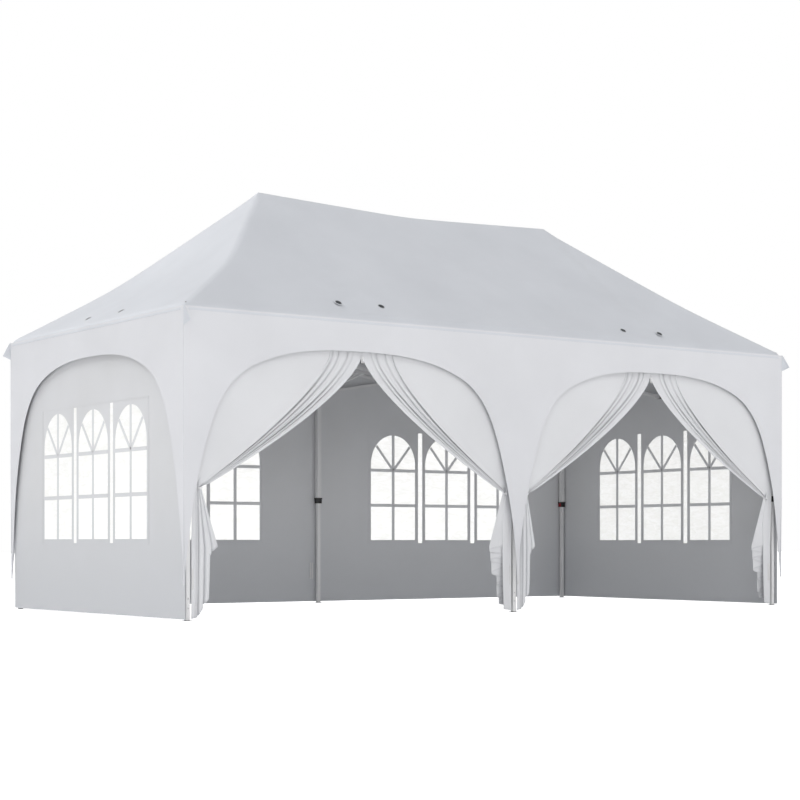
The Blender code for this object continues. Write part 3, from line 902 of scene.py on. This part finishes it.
def window_outline(middle):
    """Outline of an arched window."""
    half = WINDOW_WIDTH / 2
    points = [(middle - half, WINDOW_SILL), (middle + half, WINDOW_SILL)]
    for step in range(ARCH_STEPS + 1):
        angle = math.pi * step / ARCH_STEPS
        points.append((middle + half * math.cos(angle),
                       WINDOW_SPRING + (WINDOW_TOP - WINDOW_SPRING) * math.sin(angle)))
    return points


def panel_corners(middle, half, low, high):
    """The corners of an upright panel."""
    left, right = middle - half, middle + half
    return [(left, low), (right, low), (right, high), (left, high)]


def bar_outline(start, end, width):
    """Outline of a straight bar between two points."""
    (x0, z0), (x1, z1) = start, end
    length = math.hypot(x1 - x0, z1 - z0)
    nx = -(z1 - z0) / length * width / 2
    nz = (x1 - x0) / length * width / 2
    return [(x0 - nx, z0 - nz), (x1 - nx, z1 - nz), (x1 + nx, z1 + nz), (x0 + nx, z0 + nz)]


def window_bars(middle):
    """Start, end and width of the bars that cross a window."""
    left, right = middle - WINDOW_WIDTH / 2, middle + WINDOW_WIDTH / 2
    strips = [((middle, WINDOW_SILL), (middle, WINDOW_TOP), MULLION_WIDTH)]
    for height in RAIL_HEIGHTS:
        strips.append(((left, height), (right, height), RAIL_WIDTH))
    for side in (-1, 1):
        top = (middle + side * SLANT_TOP[0], SLANT_TOP[1])
        strips.append(((middle, RAIL_HEIGHTS[1]), top, SLANT_WIDTH))
    return strips


# %% Cut and sew a wall
def wall_wave(x, z, panel_middle):
    """Small slack in a hanging wall, which the stiff film keeps flat around the windows."""
    slack = WALL_SLACK * math.sin(2.1 * x + 0.8) * math.sin(1.3 * z + 0.4)
    slack += WALL_RIPPLE * math.sin(5.3 * x + 1.1 * z) * ease(2.1, 0.9, z)
    beside = ease(PANEL_HALF, PANEL_HALF + 0.25, abs(x - panel_middle))
    above = ease(PANEL_HIGH, PANEL_HIGH + SLACK_REACH, z)
    below = ease(PANEL_LOW, PANEL_LOW - SLACK_REACH, z)
    return slack * max(beside, above, below)


def make_wall(name, node, turn):
    """One wall with its cut windows, its sewn bars and its film."""
    low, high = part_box(node)
    along_x = high.x - low.x > high.y - low.y
    half = (high.x - low.x if along_x else high.y - low.y) / 2
    centre = (low + high) / 2
    outer = max(abs(low.y), abs(high.y)) if along_x else max(abs(low.x), abs(high.x))
    facing = Vector((math.sin(turn), -math.cos(turn), 0.0))
    sideways = Vector((math.cos(turn), math.sin(turn), 0.0))
    window_low, window_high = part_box(node + "_windows")
    film_middle = ((window_low + window_high) / 2).dot(sideways) - centre.dot(sideways)

    def put_at(top, proud):
        def put(u, v):
            x = mix(-half, half, u)
            z = mix(top, low.z, v)
            return x, wall_wave(x, z, film_middle) - proud, z
        return put

    wall = cloth_grid(name, WALL_COLUMNS, WALL_ROWS, put_at(high.z, 0.0))
    sew_up(wall, CLOTH, outward=(0, -1, 0))
    middles = [film_middle + WINDOW_PITCH * place for place in (-1, 0, 1)]
    openings = [window_outline(middle) for middle in middles]
    for side in (-1, 1):
        strip_x = film_middle + side * WINDOW_PITCH / 2
        openings.append(panel_corners(strip_x, STRIP_HALF, STRIP_LOW, STRIP_HIGH))
    panes = []
    for outline in openings:
        cut(wall, plane_outline("cutter", outline, -CUTTER_DEPTH, CUTTER_DEPTH))
        panes.append(plane_outline("pane", outline, FILM_FRONT, FILM_BACK))
    bars = []
    for middle in middles:
        strips = window_bars(middle)
        if middle == film_middle:
            corners = panel_corners(middle, EDGE_HALF, EDGE_LOW, EDGE_HIGH)
            for first, second in zip(corners, corners[1:] + corners[:1]):
                strips.append((first, second, EDGE_WIDTH))
        for layer, (start, end, width) in enumerate(strips):
            proud = BAR_STEP * min(layer, 3)
            bars.append(plane_outline("bar", bar_outline(start, end, width),
                                      BAR_FRONT - proud, BAR_BACK + proud))
    hem = cloth_grid(name + "_hem", WALL_COLUMNS, 2, put_at(low.z + HEM_DEPTH, WALL_HEM_PROUD))
    sew_up(hem, 2 * CLOTH, outward=(0, -1, 0))
    sewn = join_pieces(bars, name + "_window_bars")
    film = join_pieces(panes, name.replace("_side_wall", "_window_film"))
    for piece in (wall, sewn, film, hem):
        piece.rotation_euler.z = turn
        piece.location = facing * outer + sideways * centre.dot(sideways)
    for piece in (wall, sewn, hem):
        fit_out(piece, WALL_CLOTH, smooth=30)
    fit_out(film, WINDOW_FILM, smooth=30)
    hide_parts(node)
    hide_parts(node + "_windows")
    window_area = 3 * (WINDOW_WIDTH * (WINDOW_SPRING - WINDOW_SILL)
                       + math.pi / 4 * WINDOW_WIDTH * (WINDOW_TOP - WINDOW_SPRING))
    window_area += 4 * STRIP_HALF * (STRIP_HIGH - STRIP_LOW)
    width, height = 2 * half, high.z - low.z
    print(name, "has", len(wall.data.polygons), "faces")


# %% Hang the walls
WALL_TURNS = {"left": -QUARTER, "right": QUARTER, "back_left": math.pi, "back_right": math.pi}
for side, turn in WALL_TURNS.items():
    make_wall(f"{side}_side_wall", f"{side}_wall", turn)

# %% [markdown]
# ## The door curtains
# Each bay has two curtains that hang from the eave, meet at the middle and are swept aside to a
# tie at the leg. Above the tie the cloth by the leg stays flat, and the spare width falls into
# pleats that run along the free edge and close up towards the tie. Below the tie the cloth hangs
# free. The free edge had the longest way to the tie, so its hem ends high, and the hem zigzags
# down through the folds to the ground beside the leg, like a cascade.
#
# One grid makes the whole curtain. Its rows follow the sweep to the tie and then the tail. The
# pleats above the tie are drawn as turns of a wave: a crease is narrow and deep and swings back
# under its neighbours, and the face between two creases is wide and bulges a little.
# The plan of the tail is a drawn path, as a tailor pins folds, and it differs from left to right
# because the photo shows the left tails from the leg and the right ones from their free edge.

# %% Size the curtains and their pleats
APEX_Z = 1.948
TIE_Z = 0.940
SWEEP_POWER = 0.728
CURTAIN_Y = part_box("curtain_left_bay_left")[0].y + 0.0012
CURTAIN_CLOTH_THICK = 0.0009
LEG_SIDE = 0.029
PLAIN_SHARE = 0.40
CURTAIN_COLUMNS = 138
DROP_ROWS = 8
SWEEP_ROWS = 74
TAIL_ROWS = 50
CURTAIN_ROWS = SWEEP_ROWS + TAIL_ROWS
PLEATED_WIDTH = 0.19
PLEATED_SPREAD = 0.05
PLEATED_FLARE = 0.10
SWELL = 0.010
ROLL = 0.005
PLEAT_DRIFT = 0.03
PLEAT_VARIETY = 0.25
# Each turn of the wave: its share of the cloth, its share of the band's width, how far it swings
# back, as a share of that width, and its depth in metres. Deep turns are creases, the others faces.
PLEATS = (
    (0.18, 0.06, -0.19, 0.032),
    (0.10, 0.15, 0.00, -0.010),
    (0.13, 0.04, -0.14, 0.020),
    (0.14, 0.24, 0.03, -0.012),
    (0.16, 0.05, -0.17, 0.028),
    (0.08, 0.13, 0.00, -0.007),
    (0.10, 0.04, -0.12, 0.016),
    (0.11, 0.29, 0.00, -0.006),
)
print("creases in each curtain:", len(PLEATS) // 2)


# %% Follow the sweep to the tie
def pleat_wave(share):
    """Place and swing, as shares of the band, and depth in metres, at a share of its cloth."""
    cloth, place = 0.0, 0.0
    for number, (amount, width, swing, depth) in enumerate(PLEATS):
        if share <= cloth + amount or number == len(PLEATS) - 1:
            break
        cloth += amount
        place += width
    within = min(1.0, (share - cloth) / amount)
    turn = 2 * math.pi * within
    return place + width * within, swing * math.sin(turn), depth / 2 * (1 - math.cos(turn))


def sweep_section(share, part, span, tie_reach, wander):
    """A row above the tie: distance from the leg, and depth behind the curtain plane."""
    free = span - (span - tie_reach) * part
    width = free - LEG_SIDE
    band = width * (PLEATED_WIDTH + PLEATED_SPREAD * part + PLEATED_FLARE * part ** 6)
    if share <= PLAIN_SHARE:
        along = share / PLAIN_SHARE
        across = mix(LEG_SIDE, free - band, along)
        swell = SWELL * math.sin(math.pi * along) * math.sin(math.pi * min(1.0, part + 0.15))
        roll = ROLL * ease(0.80, 1.0, along) * ease(0.0, 0.15, part)
        return across, 0.004 - swell - roll
    along = (share - PLAIN_SHARE) / (1 - PLAIN_SHARE)
    place, swing, inward = pleat_wave(along)
    place += PLEAT_DRIFT * math.sin(math.pi * place) * math.sin(4.0 * part + wander)
    strength = mix(0.20, 1.0, ease(-0.02, 0.40, part))
    strength *= 1 + PLEAT_VARIETY * math.sin(9.0 * part + 7.0 * place + wander)
    flattened = 0.8 if along <= PLEATS[0][0] else 0.2
    strength *= mix(1.0, flattened, ease(0.45, 0.90, part))
    reach = band * mix(0.3, 1.0, ease(0.0, 0.3, part))
    across = min(free + 0.004, mix(free - band, free, place) + swing * reach)
    return across, mix(-0.001, 0.006, min(1.0, 3 * along)) + inward * strength


# %% Draw the plans of the tails
TAIL_FREE_Z = 0.525
HEM_LOW = 0.016
HEM_POWER = 1.85
WAIST = 0.17
WAIST_MIDDLE = 0.13
WAIST_DEPTH = 0.014
WAIST_FOLDS = 0.35
TAIL_TAPER = 0.14
QUICK_OPENING = 2.6
# Points of a plan: share of the cloth, distance from the leg, and depth behind the curtain plane.
LEFT_TAIL = (
    (0.00, 0.030, 0.024), (0.04, 0.046, 0.024), (0.08, 0.060, 0.020), (0.13, 0.072, 0.006),
    (0.155, 0.078, 0.028), (0.20, 0.086, 0.003), (0.30, 0.106, 0.000), (0.36, 0.120, 0.006),
    (0.40, 0.127, 0.033), (0.44, 0.142, 0.006), (0.50, 0.172, 0.010), (0.54, 0.160, 0.030),
    (0.60, 0.040, 0.036), (0.66, 0.162, 0.042), (0.72, 0.040, 0.050), (0.78, 0.162, 0.058),
    (0.83, 0.045, 0.066), (0.875, 0.150, 0.054), (0.90, 0.145, 0.026), (0.92, 0.156, 0.010),
    (0.945, 0.180, 0.003), (0.958, 0.187, 0.028), (0.975, 0.202, 0.006), (1.00, 0.236, 0.012),
)
RIGHT_TAIL = (
    (0.00, 0.030, 0.024), (0.04, 0.046, 0.024), (0.08, 0.075, 0.016), (0.13, 0.136, 0.000),
    (0.17, 0.110, 0.022), (0.23, 0.035, 0.064), (0.30, 0.132, 0.066), (0.37, 0.038, 0.058),
    (0.43, 0.165, 0.051), (0.53, 0.050, 0.045), (0.625, 0.168, 0.039), (0.67, 0.052, 0.034),
    (0.745, 0.228, 0.029), (0.815, 0.098, 0.024), (0.875, 0.245, 0.019), (0.915, 0.085, 0.014),
    (0.96, 0.263, 0.009), (1.00, 0.134, 0.004),
)
print("points in the plans:", len(LEFT_TAIL), "and", len(RIGHT_TAIL))


# %% Follow the plan of a tail
def path_point(points, share):
    """Distance and depth on a smooth curve through (share, distance, depth) points."""
    number = 0
    while number < len(points) - 2 and share > points[number + 1][0]:
        number += 1
    first, second = points[number], points[number + 1]
    before = points[max(0, number - 1)]
    after = points[min(len(points) - 1, number + 2)]
    length = second[0] - first[0]
    t = (share - first[0]) / length
    values = []
    for axis in (1, 2):
        start_slope = (second[axis] - before[axis]) / (second[0] - before[0])
        end_slope = (after[axis] - first[axis]) / (after[0] - first[0])
        values.append((2 * t ** 3 - 3 * t ** 2 + 1) * first[axis]
                      + (t ** 3 - 2 * t ** 2 + t) * length * start_slope
                      + (3 * t ** 2 - 2 * t ** 3) * second[axis]
                      + (t ** 3 - t ** 2) * length * end_slope)
    return values


def hem_height(share):
    """Height at which a thread of the tail ends."""
    return HEM_LOW + (TAIL_FREE_Z - HEM_LOW) * share ** HEM_POWER


def tail_section(plan, share, height, scale, tie_centre):
    """Plan of the tail at a height: distance from the leg, and depth behind the curtain plane."""
    full, depth = path_point(plan, share)
    hang = min(1.0, max(0.0, (TIE_Z - height) / (TIE_Z - TAIL_FREE_Z)))
    quick = min(1.0, hang * mix(QUICK_OPENING, 1.0, ease(0.0, 0.30, share)))
    low = max(0.0, (TAIL_FREE_Z - height) / TAIL_FREE_Z)
    near = plan[0][1]
    wide = near + (full - near) * scale * (1 - TAIL_TAPER * low ** 2)
    waist = tie_centre + (full - WAIST_MIDDLE) * WAIST
    waist = mix(LEG_SIDE, waist, ease(0.0, 0.17, share))
    waist_depth = mix(0.001, WAIST_DEPTH, ease(0.0, 0.12, share)) + WAIST_FOLDS * depth
    return mix(waist, wide, quick), mix(waist_depth, max(0.0, depth), hang)


# %% Join the sweep and the tail
TIE_REACH = 0.022


def curtain_point(leg, side, span, top, plan, scale, tie_centre, wander):
    """Makes the placing function of one curtain."""
    def put(u, v):
        row = v * CURTAIN_ROWS
        if row > SWEEP_ROWS:
            height = mix(TIE_Z, hem_height(u), (row - SWEEP_ROWS) / TAIL_ROWS)
            across, depth = tail_section(plan, u, height, scale, tie_centre)
            return leg - side * across, CURTAIN_Y + depth, height
        part = max(0.0, (row - DROP_ROWS) / (SWEEP_ROWS - DROP_ROWS))
        height = APEX_Z - (APEX_Z - TIE_Z) * part ** SWEEP_POWER
        if row < DROP_ROWS:
            height = mix(top, APEX_Z, row / DROP_ROWS)
        across, depth = sweep_section(u, part, span, tie_centre + TIE_REACH, wander)
        near_tie = ease(mix(0.84, 0.955, ease(0.0, 0.5, u)), 1.0, part)
        tail_across, tail_depth = tail_section(plan, u, TIE_Z, scale, tie_centre)
        across = mix(across, tail_across, near_tie)
        depth = mix(depth, tail_depth, near_tie)
        return leg - side * across, CURTAIN_Y + depth, height
    return put


# %% Sew a curtain
CURTAIN_HEM = 0.013
MEETING_GAP = 0.0008
BAND_HEIGHT = 0.014
BAND_REACH = 0.024
BAND_SLACK = 0.006
BAND_DEPTH = 0.017
BAND_START = 0.16
BAND_TILT = 25.0
BAND_THICK = 0.0016


def make_curtain(name, node, meeting, side, plan, scale, tie_centre, wander):
    """One curtain, from the eave to the hem, with its turned hem and its tie band."""
    low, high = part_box(node)
    leg = LEG_X * round((low.x + high.x) / 2 / PEAK_X + side * 0.25) / 2
    span = abs(leg - meeting) - MEETING_GAP
    put = curtain_point(leg, side, span, high.z, plan, scale, tie_centre, wander)
    piece = cloth_grid(name, CURTAIN_COLUMNS, CURTAIN_ROWS, put)
    sew_up(piece, CURTAIN_CLOTH_THICK, outward=(0, -1, 0))
    fit_out(piece, CURTAIN_CLOTH, smooth=80)
    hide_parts(node)

    def put_hem(u, v):
        length = TIE_Z - hem_height(u)
        tail = 1 - (1 - v) * CURTAIN_HEM / length
        return put(u, (SWEEP_ROWS + tail * TAIL_ROWS) / CURTAIN_ROWS)

    hem = cloth_grid(name + "_hem", CURTAIN_COLUMNS, 2, put_hem)
    in_edit_mode(hem, (bpy.ops.mesh.normals_make_consistent, {"inside": False}))
    apply_modifier(hem, "SOLIDIFY", thickness=3 * CURTAIN_CLOTH_THICK, offset=-0.33)
    # The hem takes the darker cloth, which is painted shade.
    fit_out(hem, PAINTED_SHADE_HEM_CLOTH, smooth=60)

    near = tail_section(plan, BAND_START, TIE_Z, scale, tie_centre)[0]
    far = tail_section(plan, 1.0, TIE_Z, scale, tie_centre)[0]
    let_go()
    bpy.ops.mesh.primitive_cylinder_add(vertices=40, radius=1, depth=1, end_fill_type="NOTHING")
    band = just_added(name + "_tie_band")
    band.scale = ((far - near) / 2 + BAND_SLACK, BAND_REACH, BAND_HEIGHT)
    settle(band)
    band.rotation_euler.y = math.radians(BAND_TILT) * side
    band.location = (leg - side * (near + far) / 2, CURTAIN_Y + BAND_DEPTH, TIE_Z)
    apply_modifier(band, "SOLIDIFY", thickness=BAND_THICK, offset=0.0)
    round_edges(band, 0.0005)
    fit_out(band, TAPE)

    print(name, "has", len(piece.data.polygons), "faces,",
          round(sum(face.area for face in piece.data.polygons) / 2, 2), "square metres")


# %% Hang the curtains
LEFT_MEETING = -PEAK_X + 0.028
RIGHT_MEETING = PEAK_X - 0.045
# Bay, side of the bay, where the pair meets, plan of the tail, a factor on its width, how far the
# tie stands from the leg, and a phase that lets each curtain's pleats wander in their own way.
CURTAINS = (
    ("left", "left", LEFT_MEETING, LEFT_TAIL, 1.0, 0.087, 0.3),
    ("left", "right", LEFT_MEETING, RIGHT_TAIL, 1.0, 0.100, 1.9),
    ("right", "left", RIGHT_MEETING, LEFT_TAIL, 0.86, 0.112, 3.1),
    ("right", "right", RIGHT_MEETING, RIGHT_TAIL, 1.07, 0.100, 4.4),
)
for bay, hand, meeting, plan, scale, tie_centre, wander in CURTAINS:
    side = -1 if hand == "left" else 1
    make_curtain(f"{bay}_bay_curtain_{hand}", f"curtain_{bay}_bay_{hand}", meeting, side,
                 plan, scale, tie_centre, wander)

# %% [markdown]
# ## Zip pulls and touch tape
# Each doorway closes with a zip. With the curtains tied back, the end of the zip tape hangs at the
# point where they part, as a short white tab. Low down beside the front legs, and where the two
# back walls meet, there are strips of touch tape that close round the leg. A tab is a flat block
# whose lower end is pinched, and a strip is a flat block with its rim bevelled, as webbing has.

# %% Sew the tabs and strips
def make_strip(name, centre, size, pinch=1.0):
    """A flat upright strip of webbing; pinch narrows its lower end."""
    piece = add_block(name, centre, size)
    pick_faces(piece, lambda middle, normal: normal.z < -0.9)
    bpy.ops.transform.resize(value=(pinch, 1.0, 1.0), center_override=centre)
    bpy.ops.object.mode_set(mode="OBJECT")
    round_edges(piece, 0.0004)
    return piece


TAB_SIZE = (0.011, 0.0016, 0.050)
TAB_PINCH = 0.55
tabs = []
for meeting in (LEFT_MEETING, RIGHT_MEETING):
    for side in (-1, 1):
        centre = (meeting + side * 0.0060, CURTAIN_Y - 0.0015, APEX_Z - 0.030)
        tabs.append(make_strip("zip_tab", centre, TAB_SIZE, TAB_PINCH))
fit_out(join_pieces(tabs, "zip_tabs"), TAPE)

TAPE_SIZE = (0.014, 0.0014, 0.150)
TAPE_Z = 0.295
FRONT_TAPE_Y = CURTAIN_Y + 0.0228
FOLD_TAPE_Y = CURTAIN_Y + 0.0180
BACK_TAPE_Y = HALF_W - 0.0335
TAPES = (
    (-LEG_X + 0.040, FRONT_TAPE_Y), (-0.040, FRONT_TAPE_Y), (0.039, FRONT_TAPE_Y),
    (LEG_X - 0.040, FRONT_TAPE_Y), (LEG_X - 0.062, FOLD_TAPE_Y),
    (-0.068, BACK_TAPE_Y), (-0.047, BACK_TAPE_Y),
)
tapes = [make_strip("touch_tape", (x, y, TAPE_Z), TAPE_SIZE) for x, y in TAPES]
fit_out(join_pieces(tapes, "touch_tapes"), TOUCH_TAPE)
print("tabs:", len(tabs), "strips:", len(tapes))

# %% [markdown]
# ## Drain eyelets
# Twelve steel eyelets with a mesh keep water from standing on the roof, near the eave: four along
# each long face and two on each end face. An eyelet is a torus with a thin rim, and its mesh is a
# disc that is inset twice and lifted to a low dome. Both are turned to the slope that they sit on.

# %% Set the eyelets
EYELET_RADIUS = 0.026
EYELET_RIM = 0.0035
END_EYELET_RUN = 0.125
END_EYELET_ACROSS = 0.285
# Place along the eave, and distance up the plan from it.
LONG_EYELETS = ((-1.615, 0.14), (-1.225, 0.14), (1.214, 0.112), (1.626, 0.112))
RIM_LIFT = 0.0004
MESH_LIFT = 0.0009
MESH_RINGS = (0.21, 0.36)
MESH_RISE = 0.0014
MESH_THICK = 0.0012

end_run = PEAK_X - END_EYELET_RUN
end_slope = (end_height(end_run + 0.001) - end_height(end_run - 0.001)) / 0.002
EYELETS = []
for side in (-1, 1):
    for across in (-END_EYELET_ACROSS, END_EYELET_ACROSS):
        place = Vector((side * (PEAK_X + end_run), across, end_height(end_run)))
        EYELETS.append((place, Vector((-side * end_slope, 0.0, 1.0)).normalized()))
    for along, run in LONG_EYELETS:
        place = Vector((along, side * (HALF_W - run), long_height(PEAK_X, HALF_W - run)))
        EYELETS.append((place, Vector((0.0, side * ROOF_SLOPE, 1.0)).normalized()))

rims = []
meshes = []
for place, up in EYELETS:
    lean = up.to_track_quat("Z", "Y").to_euler()
    let_go()
    bpy.ops.mesh.primitive_torus_add(major_radius=EYELET_RADIUS, minor_radius=EYELET_RIM,
                                     major_segments=32, minor_segments=10, rotation=lean,
                                     location=place + up * RIM_LIFT)
    rims.append(just_added("rim"))
    settle(rims[-1])
    let_go()
    bpy.ops.mesh.primitive_circle_add(vertices=24, radius=EYELET_RADIUS, fill_type="NGON")
    disc = just_added("drain_mesh")
    for ring in MESH_RINGS:
        pick_faces(disc, lambda middle, facing: middle.xy.length < 0.001)
        bpy.ops.mesh.inset(thickness=EYELET_RADIUS * ring)
        bpy.ops.transform.translate(value=(0.0, 0.0, MESH_RISE))
        bpy.ops.object.mode_set(mode="OBJECT")
    disc.rotation_euler = lean
    disc.location = place + up * MESH_LIFT
    apply_modifier(disc, "SOLIDIFY", thickness=MESH_THICK, offset=1.0)
    settle(disc)
    meshes.append(disc)
fit_out(join_pieces(rims, "drain_eyelets"), EYELET_STEEL)
fit_out(join_pieces(meshes, "drain_meshes"), EYELET_MESH, smooth=30)
print("eyelets:", len(EYELETS))

# %% [markdown]
# ## Corner ears of the cover
# Where the eave fold turns round a corner post, the spare cloth is pinched into a small ear that
# stands off the corner. An ear is one grid between the slanting fold above and the free edge
# below, with a little belly, and is then given the thickness of doubled cloth.

# %% Pinch the ears
EAR_LENGTH = 0.066
EAR_KNEE = 0.014
EAR_TOP = EAVE - 0.006
EAR_KNEE_Z = EAVE - 0.022
EAR_TIP_Z = EAVE - 0.118
EAR_FOOT_Z = EAVE - 0.150
EAR_BELLY = 0.028
EAR_COLUMNS = 14
EAR_ROWS = 10
EAR_THICK = 2.4 * CLOTH
# Corner, and the direction in plan in which its ear points.
EAR_TURNS = {
    (-1, -1): (0.35, -0.94),
    (1, -1): (0.72, -0.69),
    (-1, 1): (-0.72, 0.69),
    (1, 1): (0.60, 0.80),
}


def make_ear(corner, facing):
    """The ear at one corner, pointing the way it faces."""
    out = Vector((*facing, 0.0)).normalized()
    across = Vector((-out.y, out.x, 0.0))
    root = Vector((corner[0] * HALF_L, corner[1] * HALF_W, 0.0))

    def put(u, v):
        reach = EAR_LENGTH * u
        if reach < EAR_KNEE:
            top = mix(EAR_TOP, EAR_KNEE_Z, reach / EAR_KNEE)
        else:
            top = mix(EAR_KNEE_Z, EAR_TIP_Z, (reach - EAR_KNEE) / (EAR_LENGTH - EAR_KNEE))
        foot = mix(EAR_FOOT_Z, EAR_TIP_Z, u)
        belly = EAR_BELLY * math.sin(math.pi * v) * u * (1.02 - u)
        height = Vector((0.0, 0.0, mix(top, foot, v)))
        return root + out * reach + across * belly + height

    piece = cloth_grid("ear", EAR_COLUMNS, EAR_ROWS, put)
    sew_up(piece, EAR_THICK, offset=0.0)
    return piece


ears = [make_ear(corner, facing) for corner, facing in EAR_TURNS.items()]
ears = join_pieces(ears, "corner_ears")
fit_out(ears, COVER_CLOTH)
print("ears:", len(ears.data.polygons), "faces")

# %% [markdown]
# ## Leg locks
# Where the inner tube leaves the outer one sits a moulded collar with a push button that frees the
# snap. The collar is a block with a proud lip and shallow panels, bored square for both tubes, and
# the button is a rounded red key in its inward face. It is modelled once at the origin, and each
# leg gets its own copy, turned so that the button faces into the bay.

# %% Mould the locks
LOCK_LOW, LOCK_HIGH = (corner.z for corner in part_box("leg_lock_front_left"))
LOCK_HALF = 0.0245
LOCK_LIP = 0.012
LOCK_LIP_HALF = 0.0270
LOCK_STEP = 0.9450
GRIP_HALF = 0.0154
SOCKET_HALF = 0.0204
KEY_SIZE = (0.0075, 0.031, 0.034)
KEY_SUNK = 0.0025
KEY_DROP = 0.004


def square_post(half, low, high, x=0.0, y=0.0):
    """Centre and size of an upright square post."""
    return (x, y, (low + high) / 2), (2 * half, 2 * half, high - low)


def is_side(middle, normal):
    """Tells the upright faces of a block."""
    return abs(normal.z) < 0.1


body = pocket_block("lock_pattern", *square_post(LOCK_HALF, LOCK_LOW, LOCK_HIGH), is_side,
                    rim=0.005, depth=0.001)
lip = add_block("lip", *square_post(LOCK_LIP_HALF, LOCK_HIGH - LOCK_LIP, LOCK_HIGH))
apply_modifier(body, "BOOLEAN", operation="UNION", object=lip, solver="EXACT")
bpy.data.objects.remove(lip)
cut(body, add_block("bore", *square_post(GRIP_HALF, LOCK_LOW - 0.01, LOCK_STEP)))
cut(body, add_block("bore", *square_post(SOCKET_HALF, LOCK_STEP - 0.0001, LOCK_HIGH + 0.01)))
round_edges(body, 0.0012, angle=50)
key_x = LOCK_HALF + KEY_SIZE[0] / 2 - KEY_SUNK
key_z = (LOCK_LOW + LOCK_HIGH) / 2 - KEY_DROP
button = add_block("button_pattern", (key_x, 0.0, key_z), KEY_SIZE)
round_edges(button, 0.0022, segments=3)

for place, (x, y) in LEGS.items():
    turn = math.pi if x > 0 else 0.0
    lock = copy_piece(body, f"lock_collar_{place}", (x, y, 0.0), turn)
    fit_out(lock, BLACK_NYLON)
    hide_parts(f"leg_lock_{place}")
    fit_out(copy_piece(button, f"lock_button_{place}", (x, y, 0.0), turn), RED_BUTTON)
for pattern in (body, button):
    bpy.data.objects.remove(pattern)
print("locks from", LOCK_LOW, "to", LOCK_HIGH)

# %% [markdown]
# ## Brackets of the folding frame
# The bars of the scissor trusses turn on bolts in moulded brackets, and each leg carries a fixed
# bracket at its head and a sliding one below. A bracket is a block whose long faces are inset into
# shallow pockets, with the round-edged head of a bolt on both sides, and it stands where two bars
# meet. The seats are the distances of its middle from a leg, a peak pole and a cross truss's end.

# %% Mould the brackets
BRACKET_SIZE = (0.0500, 0.0306, 0.0400)
BOLT_RADIUS = 0.0065
BOLT_LENGTH = 0.0370
LOW_BAR = 1.945
HIGH_BAR = 2.195

pattern = pocket_block("bracket_pattern", (0.0, 0.0, 0.0), BRACKET_SIZE,
                       lambda middle, normal: abs(normal.y) > 0.9, rim=0.0045, depth=0.0004)
round_edges(pattern, 0.0015, angle=50)
let_go()
bpy.ops.mesh.primitive_cylinder_add(vertices=14, radius=BOLT_RADIUS, depth=BOLT_LENGTH,
                                    rotation=(QUARTER, 0.0, 0.0))
bolt = just_added("bolt_pattern")
settle(bolt)
round_edges(bolt, 0.0015)
print("bracket pattern:", len(pattern.data.polygons), "faces")

# %% Set the brackets
SEAT = 0.0508
POLE_SEAT = 0.0543
CROSS_SEAT = 0.0388
PLACES = []
for y in (-LEG_Y, LEG_Y):
    for x in (-LEG_X + SEAT, -PEAK_X, -SEAT, SEAT, PEAK_X, LEG_X - SEAT):
        PLACES.append((x, y, 0.0))
for x in (-LEG_X, 0.0, LEG_X):
    for y in (-LEG_Y + SEAT, 0.0, LEG_Y - SEAT):
        PLACES.append((x, y, QUARTER))
for x in (-PEAK_X, PEAK_X):
    for y in (-LEG_Y + CROSS_SEAT, LEG_Y - CROSS_SEAT):
        PLACES.append((x, y, QUARTER))
    PLACES.append((x - POLE_SEAT, 0.0, 0.0))
    PLACES.append((x + POLE_SEAT, 0.0, 0.0))
brackets = []
bolts = []
for x, y, turn in PLACES:
    for z in (LOW_BAR, HIGH_BAR):
        brackets.append(copy_piece(pattern, "bracket", (x, y, z), turn))
        bolts.append(copy_piece(bolt, "bolt", (x, y, z), turn))
fit_out(join_pieces(brackets, "truss_brackets"), BLACK_NYLON)
fit_out(join_pieces(bolts, "truss_bolts"), EYELET_STEEL)
for spare in (pattern, bolt):
    bpy.data.objects.remove(spare)
print("brackets:", len(PLACES) * 2)

# %% Mould the leg heads and sliders
SHELL_HALF = 0.0271
HEAD_LENGTH = 0.1106
SLIDER_HALF = 0.0356

shells = []
for place, (x, y) in LEGS.items():
    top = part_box(f"upper_leg_{place}")[1].z
    for low, high in ((top - HEAD_LENGTH, top), (LOW_BAR - SLIDER_HALF, LOW_BAR + SLIDER_HALF)):
        shell = pocket_block("leg_bracket", *square_post(SHELL_HALF, low, high, x, y), is_side,
                             rim=0.006, depth=0.0004)
        cut(shell, add_block("bore", *square_post(SOCKET_HALF, low - 0.01, high + 0.01, x, y)))
        round_edges(shell, 0.0014, angle=50)
        shells.append(shell)
fit_out(join_pieces(shells, "leg_brackets"), BLACK_NYLON)
print("leg heads and sliders:", len(shells))

# %% [markdown]
# ## Finish the frame
# The tubes, bars and poles keep their solids, whose shape is right, and get the powder coat. The
# foot plates of the lower tubes are left in dull zinc.

# %% Coat the frame
def recoat(piece, material):
    """Gives a solid a finish in every slot."""
    if not piece.data.materials:
        piece.data.materials.append(material)
    for slot in range(len(piece.data.materials)):
        piece.data.materials[slot] = material


coated = 0
for name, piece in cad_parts.items():
    if name.startswith("lower_leg"):
        recoat(piece, COATED_LEG)
        coated += 1
    elif "truss" in name or "upper_leg" in name or "pole" in name:
        recoat(piece, POWDER_COAT)
        coated += 1
print("coated solids:", coated)
